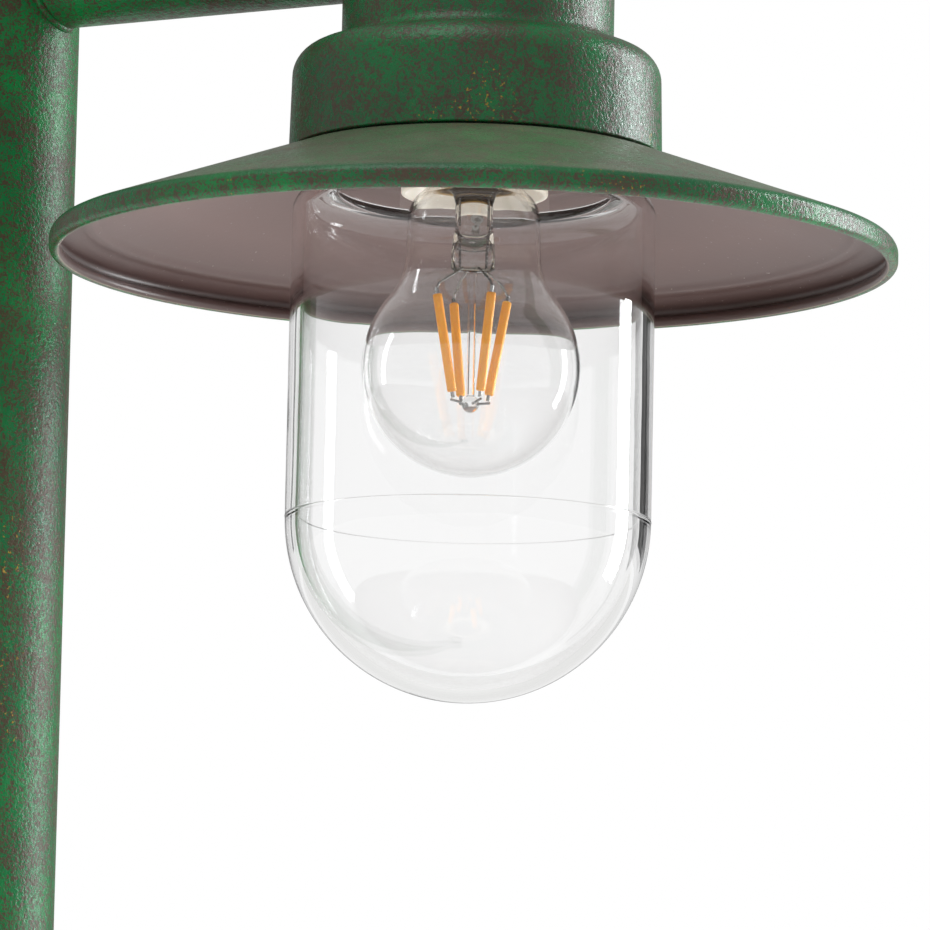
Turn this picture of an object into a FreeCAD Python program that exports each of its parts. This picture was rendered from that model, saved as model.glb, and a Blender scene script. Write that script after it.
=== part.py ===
"""Street lamp post: a round steel post with a short side arm and a shaded well-glass lantern.

Row frame: millimetres, +Z up, origin on the post's axis at the underside of the base plate,
+X along the arm. The lantern's pieces are drawn about its own axis, with height 0 at the
shade's rim, and are carried out to the arm's reach by their placement.
"""
import FreeCAD
import Part
import Sketcher
import math
import os

Vector = FreeCAD.Vector
doc = FreeCAD.newDocument("street_lamp_post")
sheet = doc.addObject("Spreadsheet::Sheet", "Sizes")
pieces = []


class Size:
    """A length that carries both its number and the spreadsheet formula that gives it."""

    def __init__(self, value, formula=None):
        self.value = float(value)
        self.formula = formula or repr(float(value))

    def __add__(self, other):
        other = as_size(other)
        return Size(self.value + other.value, f"({self.formula} + {other.formula})")

    def __sub__(self, other):
        other = as_size(other)
        return Size(self.value - other.value, f"({self.formula} - {other.formula})")

    def __mul__(self, other):
        other = as_size(other)
        return Size(self.value * other.value, f"({self.formula} * {other.formula})")

    def __truediv__(self, other):
        other = as_size(other)
        return Size(self.value / other.value, f"({self.formula} / {other.formula})")

    def __neg__(self):
        return Size(-self.value, f"(0 - {self.formula})")

    def __radd__(self, other):
        return as_size(other) + self

    def __rsub__(self, other):
        return as_size(other) - self

    def __rmul__(self, other):
        return as_size(other) * self


def as_size(value):
    return value if isinstance(value, Size) else Size(value)


def root(size):
    return Size(math.sqrt(size.value), f"sqrt({size.formula})")


def dimension(alias, millimetres, meaning):
    """Write one driving dimension into the sheet and return it."""
    dimension.row += 1
    sheet.set(f"A{dimension.row}", meaning)
    sheet.set(f"B{dimension.row}", str(millimetres))
    sheet.setAlias(f"B{dimension.row}", alias)
    return Size(millimetres, f"Sizes.{alias}")


dimension.row = 0

# ---------------------------------------------------------------- driving dimensions
# Fits shared by the whole post.
seat_gap = dimension("seat_gap", 0.3, "gap left between a moving piece and its seat")
screw_gap = dimension("screw_gap", 0.1, "radial gap of a screw in its tapped hole")
through_gap = dimension("through_gap", 0.4, "radial gap of a screw in a clearance hole")

# Base.
plate_thickness = dimension("plate_thickness", 12.0, "base plate thickness")
plate_margin = dimension("plate_margin", 2.0, "base plate beyond the cover's foot")
bolt_circle = dimension("bolt_circle", 85.0, "anchor bolt circle radius")
bolt_hole = dimension("bolt_hole", 7.0, "anchor bolt hole radius")
cable_hole = dimension("cable_hole", 20.0, "cable hole radius in the base plate")
grommet_bore = dimension("grommet_bore", 12.0, "grommet bore radius")
grommet_lip = dimension("grommet_lip", 4.0, "grommet flange overhang")
grommet_flange = dimension("grommet_flange", 3.0, "grommet flange thickness")
gusset_height = dimension("gusset_height", 40.0, "gusset height on the pole")
gusset_reach = dimension("gusset_reach", 45.0, "gusset length along the plate")
gusset_thickness = dimension("gusset_thickness", 6.0, "gusset plate thickness")
gusset_nose = dimension("gusset_nose", 6.0, "gusset height at its outer end")
cover_slide = dimension("cover_slide", 0.5, "radial gap of the cover on the pole")
cover_collar = dimension("cover_collar", 7.5, "wall of the cover's collar")
cover_collar_height = dimension("cover_collar_height", 14.0, "height of the cover's collar")
cover_flare = dimension("cover_flare", 60.0, "radius of the cover's hollow flare")
cover_shoulder = dimension("cover_shoulder", 10.0, "radius of the cover's round shoulder")
cover_skirt = dimension("cover_skirt", 12.0, "height of the cover's upright foot")
cover_wall = dimension("cover_wall", 2.5, "wall of the spun base cover")
grub_radius = dimension("grub_radius", 2.5, "grub screw radius")
grub_head = dimension("grub_head", 4.5, "head radius of an M5 screw")
grub_head_height = dimension("grub_head_height", 3.0, "head height of an M5 screw")

# Pole and cap.
pole_radius = dimension("pole_radius", 30.0, "pole tube outer radius")
pole_wall = dimension("pole_wall", 3.0, "pole tube wall")
pole_overrun = dimension("pole_overrun", 80.0, "pole above the arm's axis")
cap_overhang = dimension("cap_overhang", 2.0, "cap flange beyond the pole")
cap_flange = dimension("cap_flange", 4.0, "cap flange thickness")
cap_dome = dimension("cap_dome", 14.0, "rise of the cap's dome")
cap_spigot = dimension("cap_spigot", 24.0, "cap spigot depth in the pole")
cap_wall = dimension("cap_wall", 3.5, "cap spigot wall")
cap_screw_drop = dimension("cap_screw_drop", 12.0, "cap screw below the pole's top")

# Inspection door and what it gives onto.
door_height = dimension("door_height", 500.0, "door centre above the ground")
door_width = dimension("door_width", 36.0, "door opening width")
door_length = dimension("door_length", 150.0, "door opening length")
door_corner = dimension("door_corner", 8.0, "door opening corner radius")
door_edge_gap = dimension("door_edge_gap", 0.8, "gap all round the door")
door_thickness = dimension("door_thickness", 2.0, "door plate thickness")
door_screw_offset = dimension("door_screw_offset", 64.0, "door screws from the door centre")
door_spotface = dimension("door_spotface", 0.8, "depth of the flat under a door screw head")
frame_thickness = dimension("frame_thickness", 2.5, "door frame thickness")
frame_lap = dimension("frame_lap", 5.0, "door frame behind the pole wall")
frame_land = dimension("frame_land", 5.0, "door frame inside the opening, at its sides")
frame_tab = dimension("frame_tab", 22.0, "door frame inside the opening, at its ends")
door_screw_head = dimension("door_screw_head", 5.0, "head radius of a door screw")
rail_width = dimension("rail_width", 20.0, "terminal rail width")
rail_thickness = dimension("rail_thickness", 3.0, "terminal rail thickness")
rail_length = dimension("rail_length", 150.0, "terminal rail length")
rail_standoff = dimension("rail_standoff", 4.0, "terminal rail off the pole's back wall")
block_depth = dimension("block_depth", 20.0, "terminal block depth")
block_width = dimension("block_width", 26.0, "terminal block width")
block_length = dimension("block_length", 70.0, "terminal block length")
terminal_pitch = dimension("terminal_pitch", 7.3, "terminal screws, side to side")
terminal_reach = dimension("terminal_reach", 23.0, "terminal screws above and below the middle")
stud_radius = dimension("stud_radius", 3.0, "earth stud radius")
stud_length = dimension("stud_length", 16.0, "earth stud length")
stud_nut = dimension("stud_nut", 5.7, "earth stud nut radius over its corners")
stud_nut_height = dimension("stud_nut_height", 4.8, "earth stud nut height")
stud_drop = dimension("stud_drop", 56.0, "earth stud below the door centre")
lead_radius = dimension("lead_radius", 2.5, "lamp lead radius")
lead_bend_pole = dimension("lead_bend_pole", 26.0, "lead bend from the pole into the arm")
lead_bend_head = dimension("lead_bend_head", 22.0, "lead bend from the arm into the lantern")

# Arm.
shade_clearance = dimension("shade_clearance", 16.6, "gap between the shade and the pole")
arm_radius = dimension("arm_radius", 13.45, "arm tube outer radius")
arm_wall = dimension("arm_wall", 2.6, "arm tube wall")
arm_rise = dimension("arm_rise", 90.0, "arm axis above the shade's rim")
rim_height = dimension("rim_height", 1990.0, "shade's rim above the ground")

# Lantern casting.
collar_radius = dimension("collar_radius", 51.35, "collar radius at its lower edge")
collar_draft = dimension("collar_draft", 0.5, "how much the collar narrows upwards")
collar_height = dimension("collar_height", 21.0, "upright height of the collar")
collar_shoulder = dimension("collar_shoulder", 8.5, "radius of the collar's shoulder")
neck_radius = dimension("neck_radius", 37.5, "neck radius")
neck_fillet = dimension("neck_fillet", 4.5, "fillet where the neck meets the collar")
neck_margin = dimension("neck_margin", 1.05, "upright neck above the arm's socket")
neck_dome = dimension("neck_dome", 14.0, "rise of the casting's domed top")
cavity_dome = dimension("cavity_dome", 11.2, "rise of the hollow under the domed top")
casting_wall = dimension("casting_wall", 4.0, "wall of the casting's neck")
ledge_width = dimension("ledge_width", 7.5, "seat for the glass gasket inside the collar")
socket_wall = dimension("socket_wall", 4.5, "wall of the arm socket")
socket_depth = dimension("socket_depth", 22.0, "arm length inside the neck")
socket_margin = dimension("socket_margin", 6.6, "arm's grub screws from each end of the socket")
lug_reach = dimension("lug_reach", 12.5, "bracket lug inwards from the neck's wall")
lug_width = dimension("lug_width", 14.0, "bracket lug width")
lug_height = dimension("lug_height", 8.0, "bracket lug height")

# Shade.
shade_radius = dimension("shade_radius", 116.4, "shade outer radius")
shade_height = dimension("shade_height", 29.4, "shade height, rim to centre flange")
shade_skirt = dimension("shade_skirt", 6.0, "height of the shade's upright edge")
shade_sheet = dimension("shade_sheet", 1.2, "shade sheet thickness")
roll_radius = dimension("roll_radius", 1.7, "radius of the shade's rolled edge")
flange_margin = dimension("flange_margin", 0.15, "shade flange inside the collar's edge")
flange_bore = dimension("flange_bore", 43.2, "hole in the shade's centre")
gasket_thickness = dimension("gasket_thickness", 0.6, "gasket between shade and casting")
gasket_inset = dimension("gasket_inset", 2.5, "gasket's edge inside the shade's flange")
shade_screw_circle = dimension("shade_screw_circle", 47.2, "circle radius of the shade's screws")
small_screw = dimension("small_screw", 2.0, "radius of an M4 screw")
small_head = dimension("small_head", 3.2, "head radius of an M4 screw")
small_head_height = dimension("small_head_height", 2.4, "head height of an M4 screw")
shade_screw_grip = dimension("shade_screw_grip", 9.0, "shade screw length in the casting")
blind_end = dimension("blind_end", 1.0, "tapped hole beyond the end of its screw")

# Glass.
glass_radius = dimension("glass_radius", 50.0, "well glass outer radius")
glass_wall = dimension("glass_wall", 3.5, "well glass wall")
glass_drop = dimension("glass_drop", 71.0, "start of the round end below the rim")
glass_top = dimension("glass_top", 21.0, "top of the glass shoulder above the rim")
glass_shoulder = dimension("glass_shoulder", 8.0, "radius of the glass shoulder")
thread_inset = dimension("thread_inset", 7.75, "glass thread inside the glass's side")
thread_depth = dimension("thread_depth", 1.05, "depth of the glass thread")
thread_pitch = dimension("thread_pitch", 5.0, "pitch of the glass thread")
thread_gap = dimension("thread_gap", 0.45, "radial gap of the glass thread")
glass_engagement = dimension("glass_engagement", 14.7, "glass neck inside the collar")
seal_thickness = dimension("seal_thickness", 2.4, "gasket above the glass neck")

# Lampholder.
holder_lip = dimension("holder_lip", 18.8, "lampholder's lower edge above the rim")
holder_radius = dimension("holder_radius", 20.2, "lampholder radius")
holder_length = dimension("holder_length", 38.0, "lampholder length")
holder_lip_wall = dimension("holder_lip_wall", 1.4, "lampholder wall at its lip")
holder_bore = dimension("holder_bore", 15.2, "lampholder bore for the screw shell")
holder_throat = dimension("holder_throat", 9.0, "height of the tapered mouth")
holder_web = dimension("holder_web", 6.0, "nipple thread depth in the holder")
web_thickness = dimension("web_thickness", 2.5, "insulating web over the bore")
holder_crown = dimension("holder_crown", 4.5, "radius at the lampholder's top edge")
shell_wall = dimension("shell_wall", 0.6, "screw shell wall")
contact_radius = dimension("contact_radius", 4.0, "centre contact radius")
contact_stem = dimension("contact_stem", 1.5, "centre contact stem radius")
nipple_radius = dimension("nipple_radius", 5.0, "threaded nipple radius")
nipple_wall = dimension("nipple_wall", 1.4, "threaded nipple wall")
nut_height = dimension("nut_height", 4.0, "nipple nut height")
nut_radius = dimension("nut_radius", 8.0, "nipple nut radius over its corners")
bracket_thickness = dimension("bracket_thickness", 2.0, "holder bracket thickness")

# Bulb: a 60 mm filament lamp with a 27 mm screw cap, 106 mm long overall.
globe_radius = dimension("globe_radius", 30.0, "bulb globe radius")
bulb_glass = dimension("bulb_glass", 0.8, "bulb glass thickness")
bulb_length = dimension("bulb_length", 106.0, "bulb overall length")
bulb_neck = dimension("bulb_neck", 18.5, "bulb neck radius under the globe")
bulb_waist = dimension("bulb_waist", 20.0, "radius of the hollow curve from globe to neck")
bulb_throat = dimension("bulb_throat", 18.0, "bulb neck radius near the holder's lip")
cap_length = dimension("cap_length", 24.4, "bulb cap length with its contact")
cap_crest = dimension("cap_crest", 13.2, "bulb cap radius over its thread")
cap_thread_depth = dimension("cap_thread_depth", 0.9, "bulb cap thread depth")
cap_pitch = dimension("cap_pitch", 3.6, "bulb cap thread pitch")
cap_bore = dimension("cap_bore", 11.8, "bulb cap inner radius")
cap_shoulder = dimension("cap_shoulder", 1.8, "bulb cap's shoulder inwards from its bore")
tip_rise = dimension("tip_rise", 1.2, "bulb tip contact above its insulator")
tip_gap = dimension("tip_gap", 0.4, "gap between the bulb's tip and the contact")
stem_radius = dimension("stem_radius", 5.2, "glass stem tube radius")
pinch_width = dimension("pinch_width", 12.0, "width of the flattened stem end")
pinch_thickness = dimension("pinch_thickness", 4.0, "thickness of the flattened stem end")
pinch_length = dimension("pinch_length", 9.5, "length of the flattened stem end")
filament_radius = dimension("filament_radius", 1.3, "filament radius")
filament_rise = dimension("filament_rise", 21.4, "filaments' upper ends above the globe's centre")
filament_drop = dimension("filament_drop", 30.0, "height of the leaning filaments")
filament_top_circle = dimension("filament_top_circle", 11.2, "circle of the filaments' upper ends")
filament_foot_circle = dimension("filament_foot_circle", 5.4, "circle of their lower ends")
wire_radius = dimension("wire_radius", 0.35, "support wire radius")
rod_radius = dimension("rod_radius", 1.1, "centre glass rod radius")
bead_radius = dimension("bead_radius", 2.4, "glass bead radius")
stem_gap = dimension("stem_gap", 5.0, "stem's end above the filaments")
stem_wall = dimension("stem_wall", 1.2, "glass stem tube wall")
driver_thickness = dimension("driver_thickness", 1.2, "driver board thickness")

# Counts, and shares that don't depend on the sizes.
BOLTS = 4
SHADE_SCREWS = 3
FILAMENTS = 4
CAP_THREAD_TURNS = 5
BULB_TURN = 29.0
FILAMENT_TURN = 56.0
DRIVE_WIDTH = 0.55
DRIVE_DEPTH = 0.6
PAST_THE_WALL = 1.5
doc.recompute()


# ---------------------------------------------------------------- modelling helpers
def bind(target, path, size):
    """Tie one property of an object to the sheet."""
    target.setExpression(path, as_size(size).formula)


def place(target, x=0.0, y=0.0, z=0.0):
    for axis, distance in (("x", x), ("y", y), ("z", z)):
        bind(target, f"Placement.Base.{axis}", distance)


def piece(target, label):
    """Register a finished sub-part under the name of its file."""
    target.Label = label
    pieces.append(target)
    return target


def in_lantern(target, label):
    """Register a sub-part that was drawn about the lantern's axis, and carry it there."""
    place(target, arm_reach, 0.0, rim_height)
    return piece(target, label)


def new_body(name):
    return doc.addObject("PartDesign::Body", name)


def blank_sketch(body, plane, offset):
    """A sketch on one of the body's origin planes, moved along the plane's normal."""
    sketch = body.newObject("Sketcher::SketchObject", f"{body.Name}_sketch")
    origin_plane = [item for item in body.Origin.OriginFeatures if item.Role == plane][0]
    sketch.AttachmentSupport = [(origin_plane, "")]
    sketch.MapMode = "FlatFace"
    bind(sketch, "AttachmentOffset.Base.z", offset)
    return sketch


def pin_distance(sketch, kind, geometry, end, distance):
    """Hold one point of a sketch at a signed distance from the origin."""
    if distance.value == 0.0:
        axis = -2 if kind == "DistanceX" else -1
        sketch.addConstraint(Sketcher.Constraint("PointOnObject", geometry, end, axis))
        return
    constraint = Sketcher.Constraint(kind, -1, 1, geometry, end, distance.value)
    index = sketch.addConstraint(constraint)
    bind(sketch, f"Constraints[{index}]", distance)


def pin_point(sketch, geometry, end, point):
    pin_distance(sketch, "DistanceX", geometry, end, as_size(point[0]))
    pin_distance(sketch, "DistanceY", geometry, end, as_size(point[1]))


def draw_circle(sketch, radius, centre=(0.0, 0.0)):
    radius = as_size(radius)
    middle = Vector(as_size(centre[0]).value, as_size(centre[1]).value, 0)
    circle = sketch.addGeometry(Part.Circle(middle, Vector(0, 0, 1), radius.value), False)
    pin_point(sketch, circle, 3, centre)
    index = sketch.addConstraint(Sketcher.Constraint("Radius", circle, radius.value))
    bind(sketch, f"Constraints[{index}]", radius)


def arc_between(start, finish, radius):
    """An arc from start to finish: a positive radius turns left, a negative one right."""
    chord = finish - start
    rise = math.sqrt(max(radius ** 2 - chord.Length ** 2 / 4.0, 0.0))
    left = Vector(-chord.y, chord.x, 0).normalize()
    centre = (start + finish) / 2.0 + left * math.copysign(rise, radius)
    circle = Part.Circle(centre, Vector(0, 0, 1), abs(radius))
    first, last = (start, finish) if radius > 0 else (finish, start)
    return Part.ArcOfCircle(circle, circle.parameter(first), circle.parameter(last))


def draw_outline(sketch, corners):
    """A closed outline. A corner is (across, up), and (across, up, radius) starts an arc."""
    points = [Vector(as_size(c[0]).value, as_size(c[1]).value, 0) for c in corners]
    edges = []
    for number, corner in enumerate(corners):
        start = points[number]
        finish = points[(number + 1) % len(points)]
        radius = as_size(corner[2]) if len(corner) > 2 else None
        if radius is None:
            edges.append((sketch.addGeometry(Part.LineSegment(start, finish), False), 1, 2))
            continue
        arc = sketch.addGeometry(arc_between(start, finish, radius.value), False)
        edges.append((arc, 1, 2) if radius.value > 0 else (arc, 2, 1))
        length = radius if radius.value > 0 else -radius
        index = sketch.addConstraint(Sketcher.Constraint("Radius", arc, length.value))
        bind(sketch, f"Constraints[{index}]", length)
    for number, corner in enumerate(corners):
        edge, head, tail = edges[number]
        following, following_head, _ = edges[(number + 1) % len(edges)]
        sketch.addConstraint(
            Sketcher.Constraint("Coincident", edge, tail, following, following_head))
        pin_point(sketch, edge, head, corner)


def turned(name, corners):
    """A body turned about its upright axis from corners of (radius, height)."""
    body = new_body(name)
    sketch = blank_sketch(body, "XZ_Plane", 0.0)
    draw_outline(sketch, corners)
    revolution = body.newObject("PartDesign::Revolution", f"{name}_turn")
    revolution.Profile = sketch
    revolution.ReferenceAxis = (sketch, ["V_Axis"])
    revolution.Angle = 360.0
    return body


def pad(body, sketch, length, reverse=False):
    feature = body.newObject("PartDesign::Pad", f"{body.Name}_pad")
    feature.Profile = sketch
    feature.Reversed = reverse
    bind(feature, "Length", length)
    return feature


def pocket(body, sketch, length, reverse=False):
    """Cut a sketch into the body, and stop if it cuts nothing."""
    doc.recompute()
    before = body.Shape.Volume
    feature = body.newObject("PartDesign::Pocket", f"{body.Name}_pocket")
    feature.Profile = sketch
    feature.Reversed = reverse
    bind(feature, "Length", length)
    doc.recompute()
    if not body.Shape.Volume < before:
        raise RuntimeError(f"a pocket in {body.Name} cuts nothing")
    return feature


def drill(body, plane, centre, radius, start, length, reverse=False):
    """A round hole from an offset origin plane, against the plane's normal."""
    sketch = blank_sketch(body, plane, start)
    draw_circle(sketch, radius, centre)
    return pocket(body, sketch, length, reverse)


def polar(body, feature, count):
    """Repeat a feature round the body's upright axis."""
    pattern = body.newObject("PartDesign::PolarPattern", f"{body.Name}_pattern")
    pattern.Originals = [feature]
    upright = [item for item in body.Origin.OriginFeatures if item.Role == "Z_Axis"][0]
    pattern.Axis = (upright, [""])
    pattern.Angle = 360.0
    pattern.Occurrences = count
    body.Tip = pattern
    return pattern


def rounded_rectangle(width, length, corner, middle):
    """Corners, anticlockwise, of an upright rectangle with round corners."""
    side = width / 2.0
    foot = middle - length / 2.0
    head = middle + length / 2.0
    return [
        (-side + corner, foot),
        (side - corner, foot, corner),
        (side, foot + corner),
        (side, head - corner, corner),
        (side - corner, head),
        (-side + corner, head, corner),
        (-side, head - corner),
        (-side, foot + corner, corner),
    ]


def stand(solid, height, at, along):
    """Stand a Part primitive on a point, with its height along an axis; "-X" runs back along X."""
    quarter_turns = {"Z": 0, "X": 1, "-X": -1}
    solid.Placement.Rotation = FreeCAD.Rotation(Vector(0, 1, 0), 90 * quarter_turns[along])
    bind(solid, "Height", height)
    place(solid, *at)
    return solid


def cylinder(name, radius, height, at=(0.0, 0.0, 0.0), along="Z"):
    solid = doc.addObject("Part::Cylinder", name)
    bind(solid, "Radius", radius)
    return stand(solid, height, at, along)


def hexagon(name, radius, height, at=(0.0, 0.0, 0.0), along="Z"):
    solid = doc.addObject("Part::Prism", name)
    solid.Polygon = 6
    bind(solid, "Circumradius", radius)
    return stand(solid, height, at, along)


def block(name, lengths, at):
    solid = doc.addObject("Part::Box", name)
    for path, length in zip(("Length", "Width", "Height"), lengths):
        bind(solid, path, length)
    place(solid, *at)
    return solid


def cut(name, base, tool):
    result = doc.addObject("Part::Cut", name)
    result.Base = base
    result.Tool = tool
    return result


def joined(name, solids):
    result = doc.addObject("Part::MultiFuse", name)
    result.Shapes = solids
    return result


def shared(name, solids):
    result = doc.addObject("Part::MultiCommon", name)
    result.Shapes = solids
    return result


def group(name, solids):
    """Identical pieces that share one node as separate solids."""
    result = doc.addObject("Part::Compound", name)
    result.Links = solids
    return result


def headed_screw(name, at, along, shank, length, head, head_height):
    """A socket-head screw: the head starts at the point, the shank goes the given way."""
    back = {"Z": (0, 0, -1), "X": (-1, 0, 0)}[along]
    head_at = [distance + step * head_height for distance, step in zip(at, back)]
    head_solid = cylinder(f"{name}_head", head, head_height, head_at, along)
    socket = hexagon(f"{name}_socket", head * DRIVE_WIDTH, head_height * DRIVE_DEPTH, head_at,
                     along)
    shank_solid = cylinder(f"{name}_shank", shank, length, at, along)
    return joined(name, [cut(f"{name}_drive", head_solid, socket), shank_solid])


# ---------------------------------------------------------------- places that pieces share
arm_reach = pole_radius + shade_clearance + shade_radius
arm_height = rim_height + arm_rise
pole_top = arm_height + pole_overrun
pole_bore = pole_radius - pole_wall
arm_bore = arm_radius - arm_wall
collar_foot = shade_height + gasket_thickness
ledge_height = collar_foot + glass_engagement + seal_thickness + seat_gap
neck_cavity = neck_radius - casting_wall
thread_crest = glass_radius - thread_inset
thread_bore = thread_crest + thread_gap
neck_end = arm_rise + arm_radius + socket_wall + neck_margin
holder_top = holder_lip + holder_length
flange_radius = collar_radius - flange_margin
cover_inner = pole_radius + cover_slide
cover_collar_radius = cover_inner + cover_collar
cover_foot_radius = cover_collar_radius + cover_flare + cover_shoulder


# ---------------------------------------------------------------- base
def base_plate():
    body = new_body("base_plate")
    sketch = blank_sketch(body, "XY_Plane", 0.0)
    draw_circle(sketch, cover_foot_radius + plate_margin)
    draw_circle(sketch, cable_hole)
    pad(body, sketch, plate_thickness)
    diagonal = bolt_circle * math.sqrt(0.5)
    hole = drill(body, "XY_Plane", (diagonal, diagonal), bolt_hole, plate_thickness, plate_thickness)
    polar(body, hole, BOLTS)
    piece(body, "base_plate")


def cable_grommet():
    """A rubber bush in the plate's hole, for the supply cable that comes up from the ground."""
    lip = cable_hole + grommet_lip
    top = plate_thickness + grommet_flange
    body = turned("cable_grommet", [
        (grommet_bore, 0.0), (cable_hole, 0.0), (cable_hole, plate_thickness),
        (lip, plate_thickness), (lip, top), (grommet_bore, top)])
    piece(body, "cable_grommet")


def base_gussets():
    """Four welded plates that brace the pole on its base plate."""
    fins = []
    for number in range(BOLTS):
        body = new_body(f"gusset_{number}")
        sketch = blank_sketch(body, "XZ_Plane", -gusset_thickness / 2.0)
        inner = pole_radius
        tip = pole_radius + gusset_reach
        foot = plate_thickness
        draw_outline(sketch, [
            (inner, foot), (tip, foot), (tip, foot + gusset_nose),
            (inner + gusset_nose, foot + gusset_height), (inner, foot + gusset_height)])
        pad(body, sketch, gusset_thickness)
        body.Placement.Rotation = FreeCAD.Rotation(Vector(0, 0, 1), 360.0 / BOLTS * number)
        fins.append(body)
    piece(group("gusset_group", fins), "base_gussets")


def base_cover():
    """A spun bell that hides the anchor nuts and lifts up the pole."""
    foot = plate_thickness
    skirt = foot + cover_skirt
    shelf = skirt + cover_shoulder
    shelf_radius = cover_collar_radius + cover_flare
    flare_top = shelf + cover_flare
    top = flare_top + cover_collar_height
    inside = cover_foot_radius - cover_wall
    body = turned("base_cover", [
        (inside, foot), (cover_foot_radius, foot),
        (cover_foot_radius, skirt, cover_shoulder),
        (shelf_radius, shelf, -cover_flare),
        (cover_collar_radius, flare_top), (cover_collar_radius, top), (cover_inner, top),
        (cover_inner, flare_top), (cover_collar_radius - cover_wall, flare_top,
                                   cover_flare + cover_wall),
        (shelf_radius, shelf - cover_wall, -(cover_shoulder - cover_wall)),
        (inside, skirt)])
    middle = top - cover_collar_height / 2.0
    drill(body, "YZ_Plane", (0.0, middle), grub_radius + screw_gap, 0.0,
          cover_collar_radius * PAST_THE_WALL)
    piece(body, "base_cover")
    screw = headed_screw(
        "cover_thumb_screw", (-cover_collar_radius, 0.0, middle), "X", grub_radius,
        cover_collar + cover_slide - seat_gap, grub_head, grub_head_height)
    piece(screw, "base_cover_screw")


# ---------------------------------------------------------------- pole
def pole_tube():
    body = new_body("pole_tube")
    sketch = blank_sketch(body, "XY_Plane", plate_thickness)
    draw_circle(sketch, pole_radius)
    draw_circle(sketch, pole_bore)
    pad(body, sketch, pole_top - plate_thickness)
    reach = pole_radius * PAST_THE_WALL
    opening = blank_sketch(body, "YZ_Plane", 0.0)
    draw_outline(opening, rounded_rectangle(door_width, door_length, door_corner, door_height))
    pocket(body, opening, reach)
    drill(body, "YZ_Plane", (0.0, arm_height), arm_bore, 0.0, reach, True)
    drill(body, "YZ_Plane", (0.0, pole_top - cap_screw_drop), grub_radius + screw_gap, 0.0, reach)
    piece(body, "pole_tube")


def pole_cap():
    flange = pole_radius + cap_overhang
    dome = (flange * flange + cap_dome * cap_dome) / (2.0 * cap_dome)
    spigot = pole_bore - screw_gap * 2.0
    inside = spigot - cap_wall
    body = turned("pole_cap", [
        (0.0, pole_top + cap_wall), (inside, pole_top + cap_wall), (inside, pole_top - cap_spigot),
        (spigot, pole_top - cap_spigot), (spigot, pole_top), (flange, pole_top),
        (flange, pole_top + cap_flange, dome), (0.0, pole_top + cap_flange + cap_dome)])
    middle = pole_top - cap_screw_drop
    drill(body, "YZ_Plane", (0.0, middle), grub_radius + screw_gap, 0.0,
          pole_radius * PAST_THE_WALL)
    piece(body, "pole_cap")
    screw = headed_screw("cap_screw", (-pole_radius, 0.0, middle), "X", grub_radius,
                         pole_wall + cap_wall, grub_head, grub_head_height)
    piece(screw, "pole_cap_screw")


# ---------------------------------------------------------------- inspection door
def curved_panel(name, outline, inner, outer):
    """A panel bent to the pole's round, seen square from the door side."""
    body = new_body(name)
    sketch = blank_sketch(body, "YZ_Plane", 0.0)
    draw_outline(sketch, outline)
    pad(body, sketch, pole_radius * PAST_THE_WALL, True)
    tall = door_length * 2.0
    floor = door_height + door_length
    drill(body, "XY_Plane", (0.0, 0.0), inner, floor, tall)
    skin = blank_sketch(body, "XY_Plane", floor)
    draw_circle(skin, outer)
    draw_circle(skin, pole_radius * 2.0 * PAST_THE_WALL)
    pocket(body, skin, tall)
    return body


def door_window(body, width, length, corner):
    sketch = blank_sketch(body, "YZ_Plane", 0.0)
    draw_outline(sketch, rounded_rectangle(width, length, corner, door_height))
    pocket(body, sketch, pole_radius * PAST_THE_WALL)


def door_screw_holes(body, radius, start=0.0):
    for way in (1.0, -1.0):
        drill(body, "YZ_Plane", (0.0, door_height + door_screw_offset * way), radius, start,
              pole_radius * PAST_THE_WALL)


def inspection_door():
    window_width = door_width - frame_land * 2.0
    window_length = door_length - frame_tab * 2.0
    corner = door_corner / 2.0
    lap = frame_lap * 2.0
    frame = curved_panel(
        "door_frame",
        rounded_rectangle(door_width + lap, door_length + lap, door_corner, door_height),
        pole_bore - frame_thickness, pole_bore)
    door_window(frame, window_width, window_length, corner)
    door_screw_holes(frame, grub_radius + through_gap)
    piece(frame, "door_frame")

    gap = door_edge_gap * 2.0
    outline = rounded_rectangle(
        door_width - gap, door_length - gap, door_corner - door_edge_gap, door_height)
    door_inside = pole_radius - door_thickness
    door = curved_panel("inspection_door", outline, door_inside, pole_radius)
    door_screw_holes(door, grub_radius + screw_gap)
    seat = pole_radius - door_spotface
    door_screw_holes(door, door_screw_head + through_gap, -seat)
    piece(door, "inspection_door")

    gasket = curved_panel("door_gasket", outline, pole_bore + seat_gap, door_inside)
    door_window(gasket, window_width, window_length, corner)
    door_screw_holes(gasket, grub_radius + screw_gap)
    piece(gasket, "door_gasket")

    screws = []
    for number, way in enumerate((1.0, -1.0)):
        height = door_height + door_screw_offset * way
        screws.append(headed_screw(f"door_screw_{number}", (-seat, 0.0, height), "X", grub_radius,
                                   seat - pole_bore + frame_thickness * 2.0, door_screw_head,
                                   grub_head_height))
    piece(group("door_screw_group", screws), "door_screws")


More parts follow.
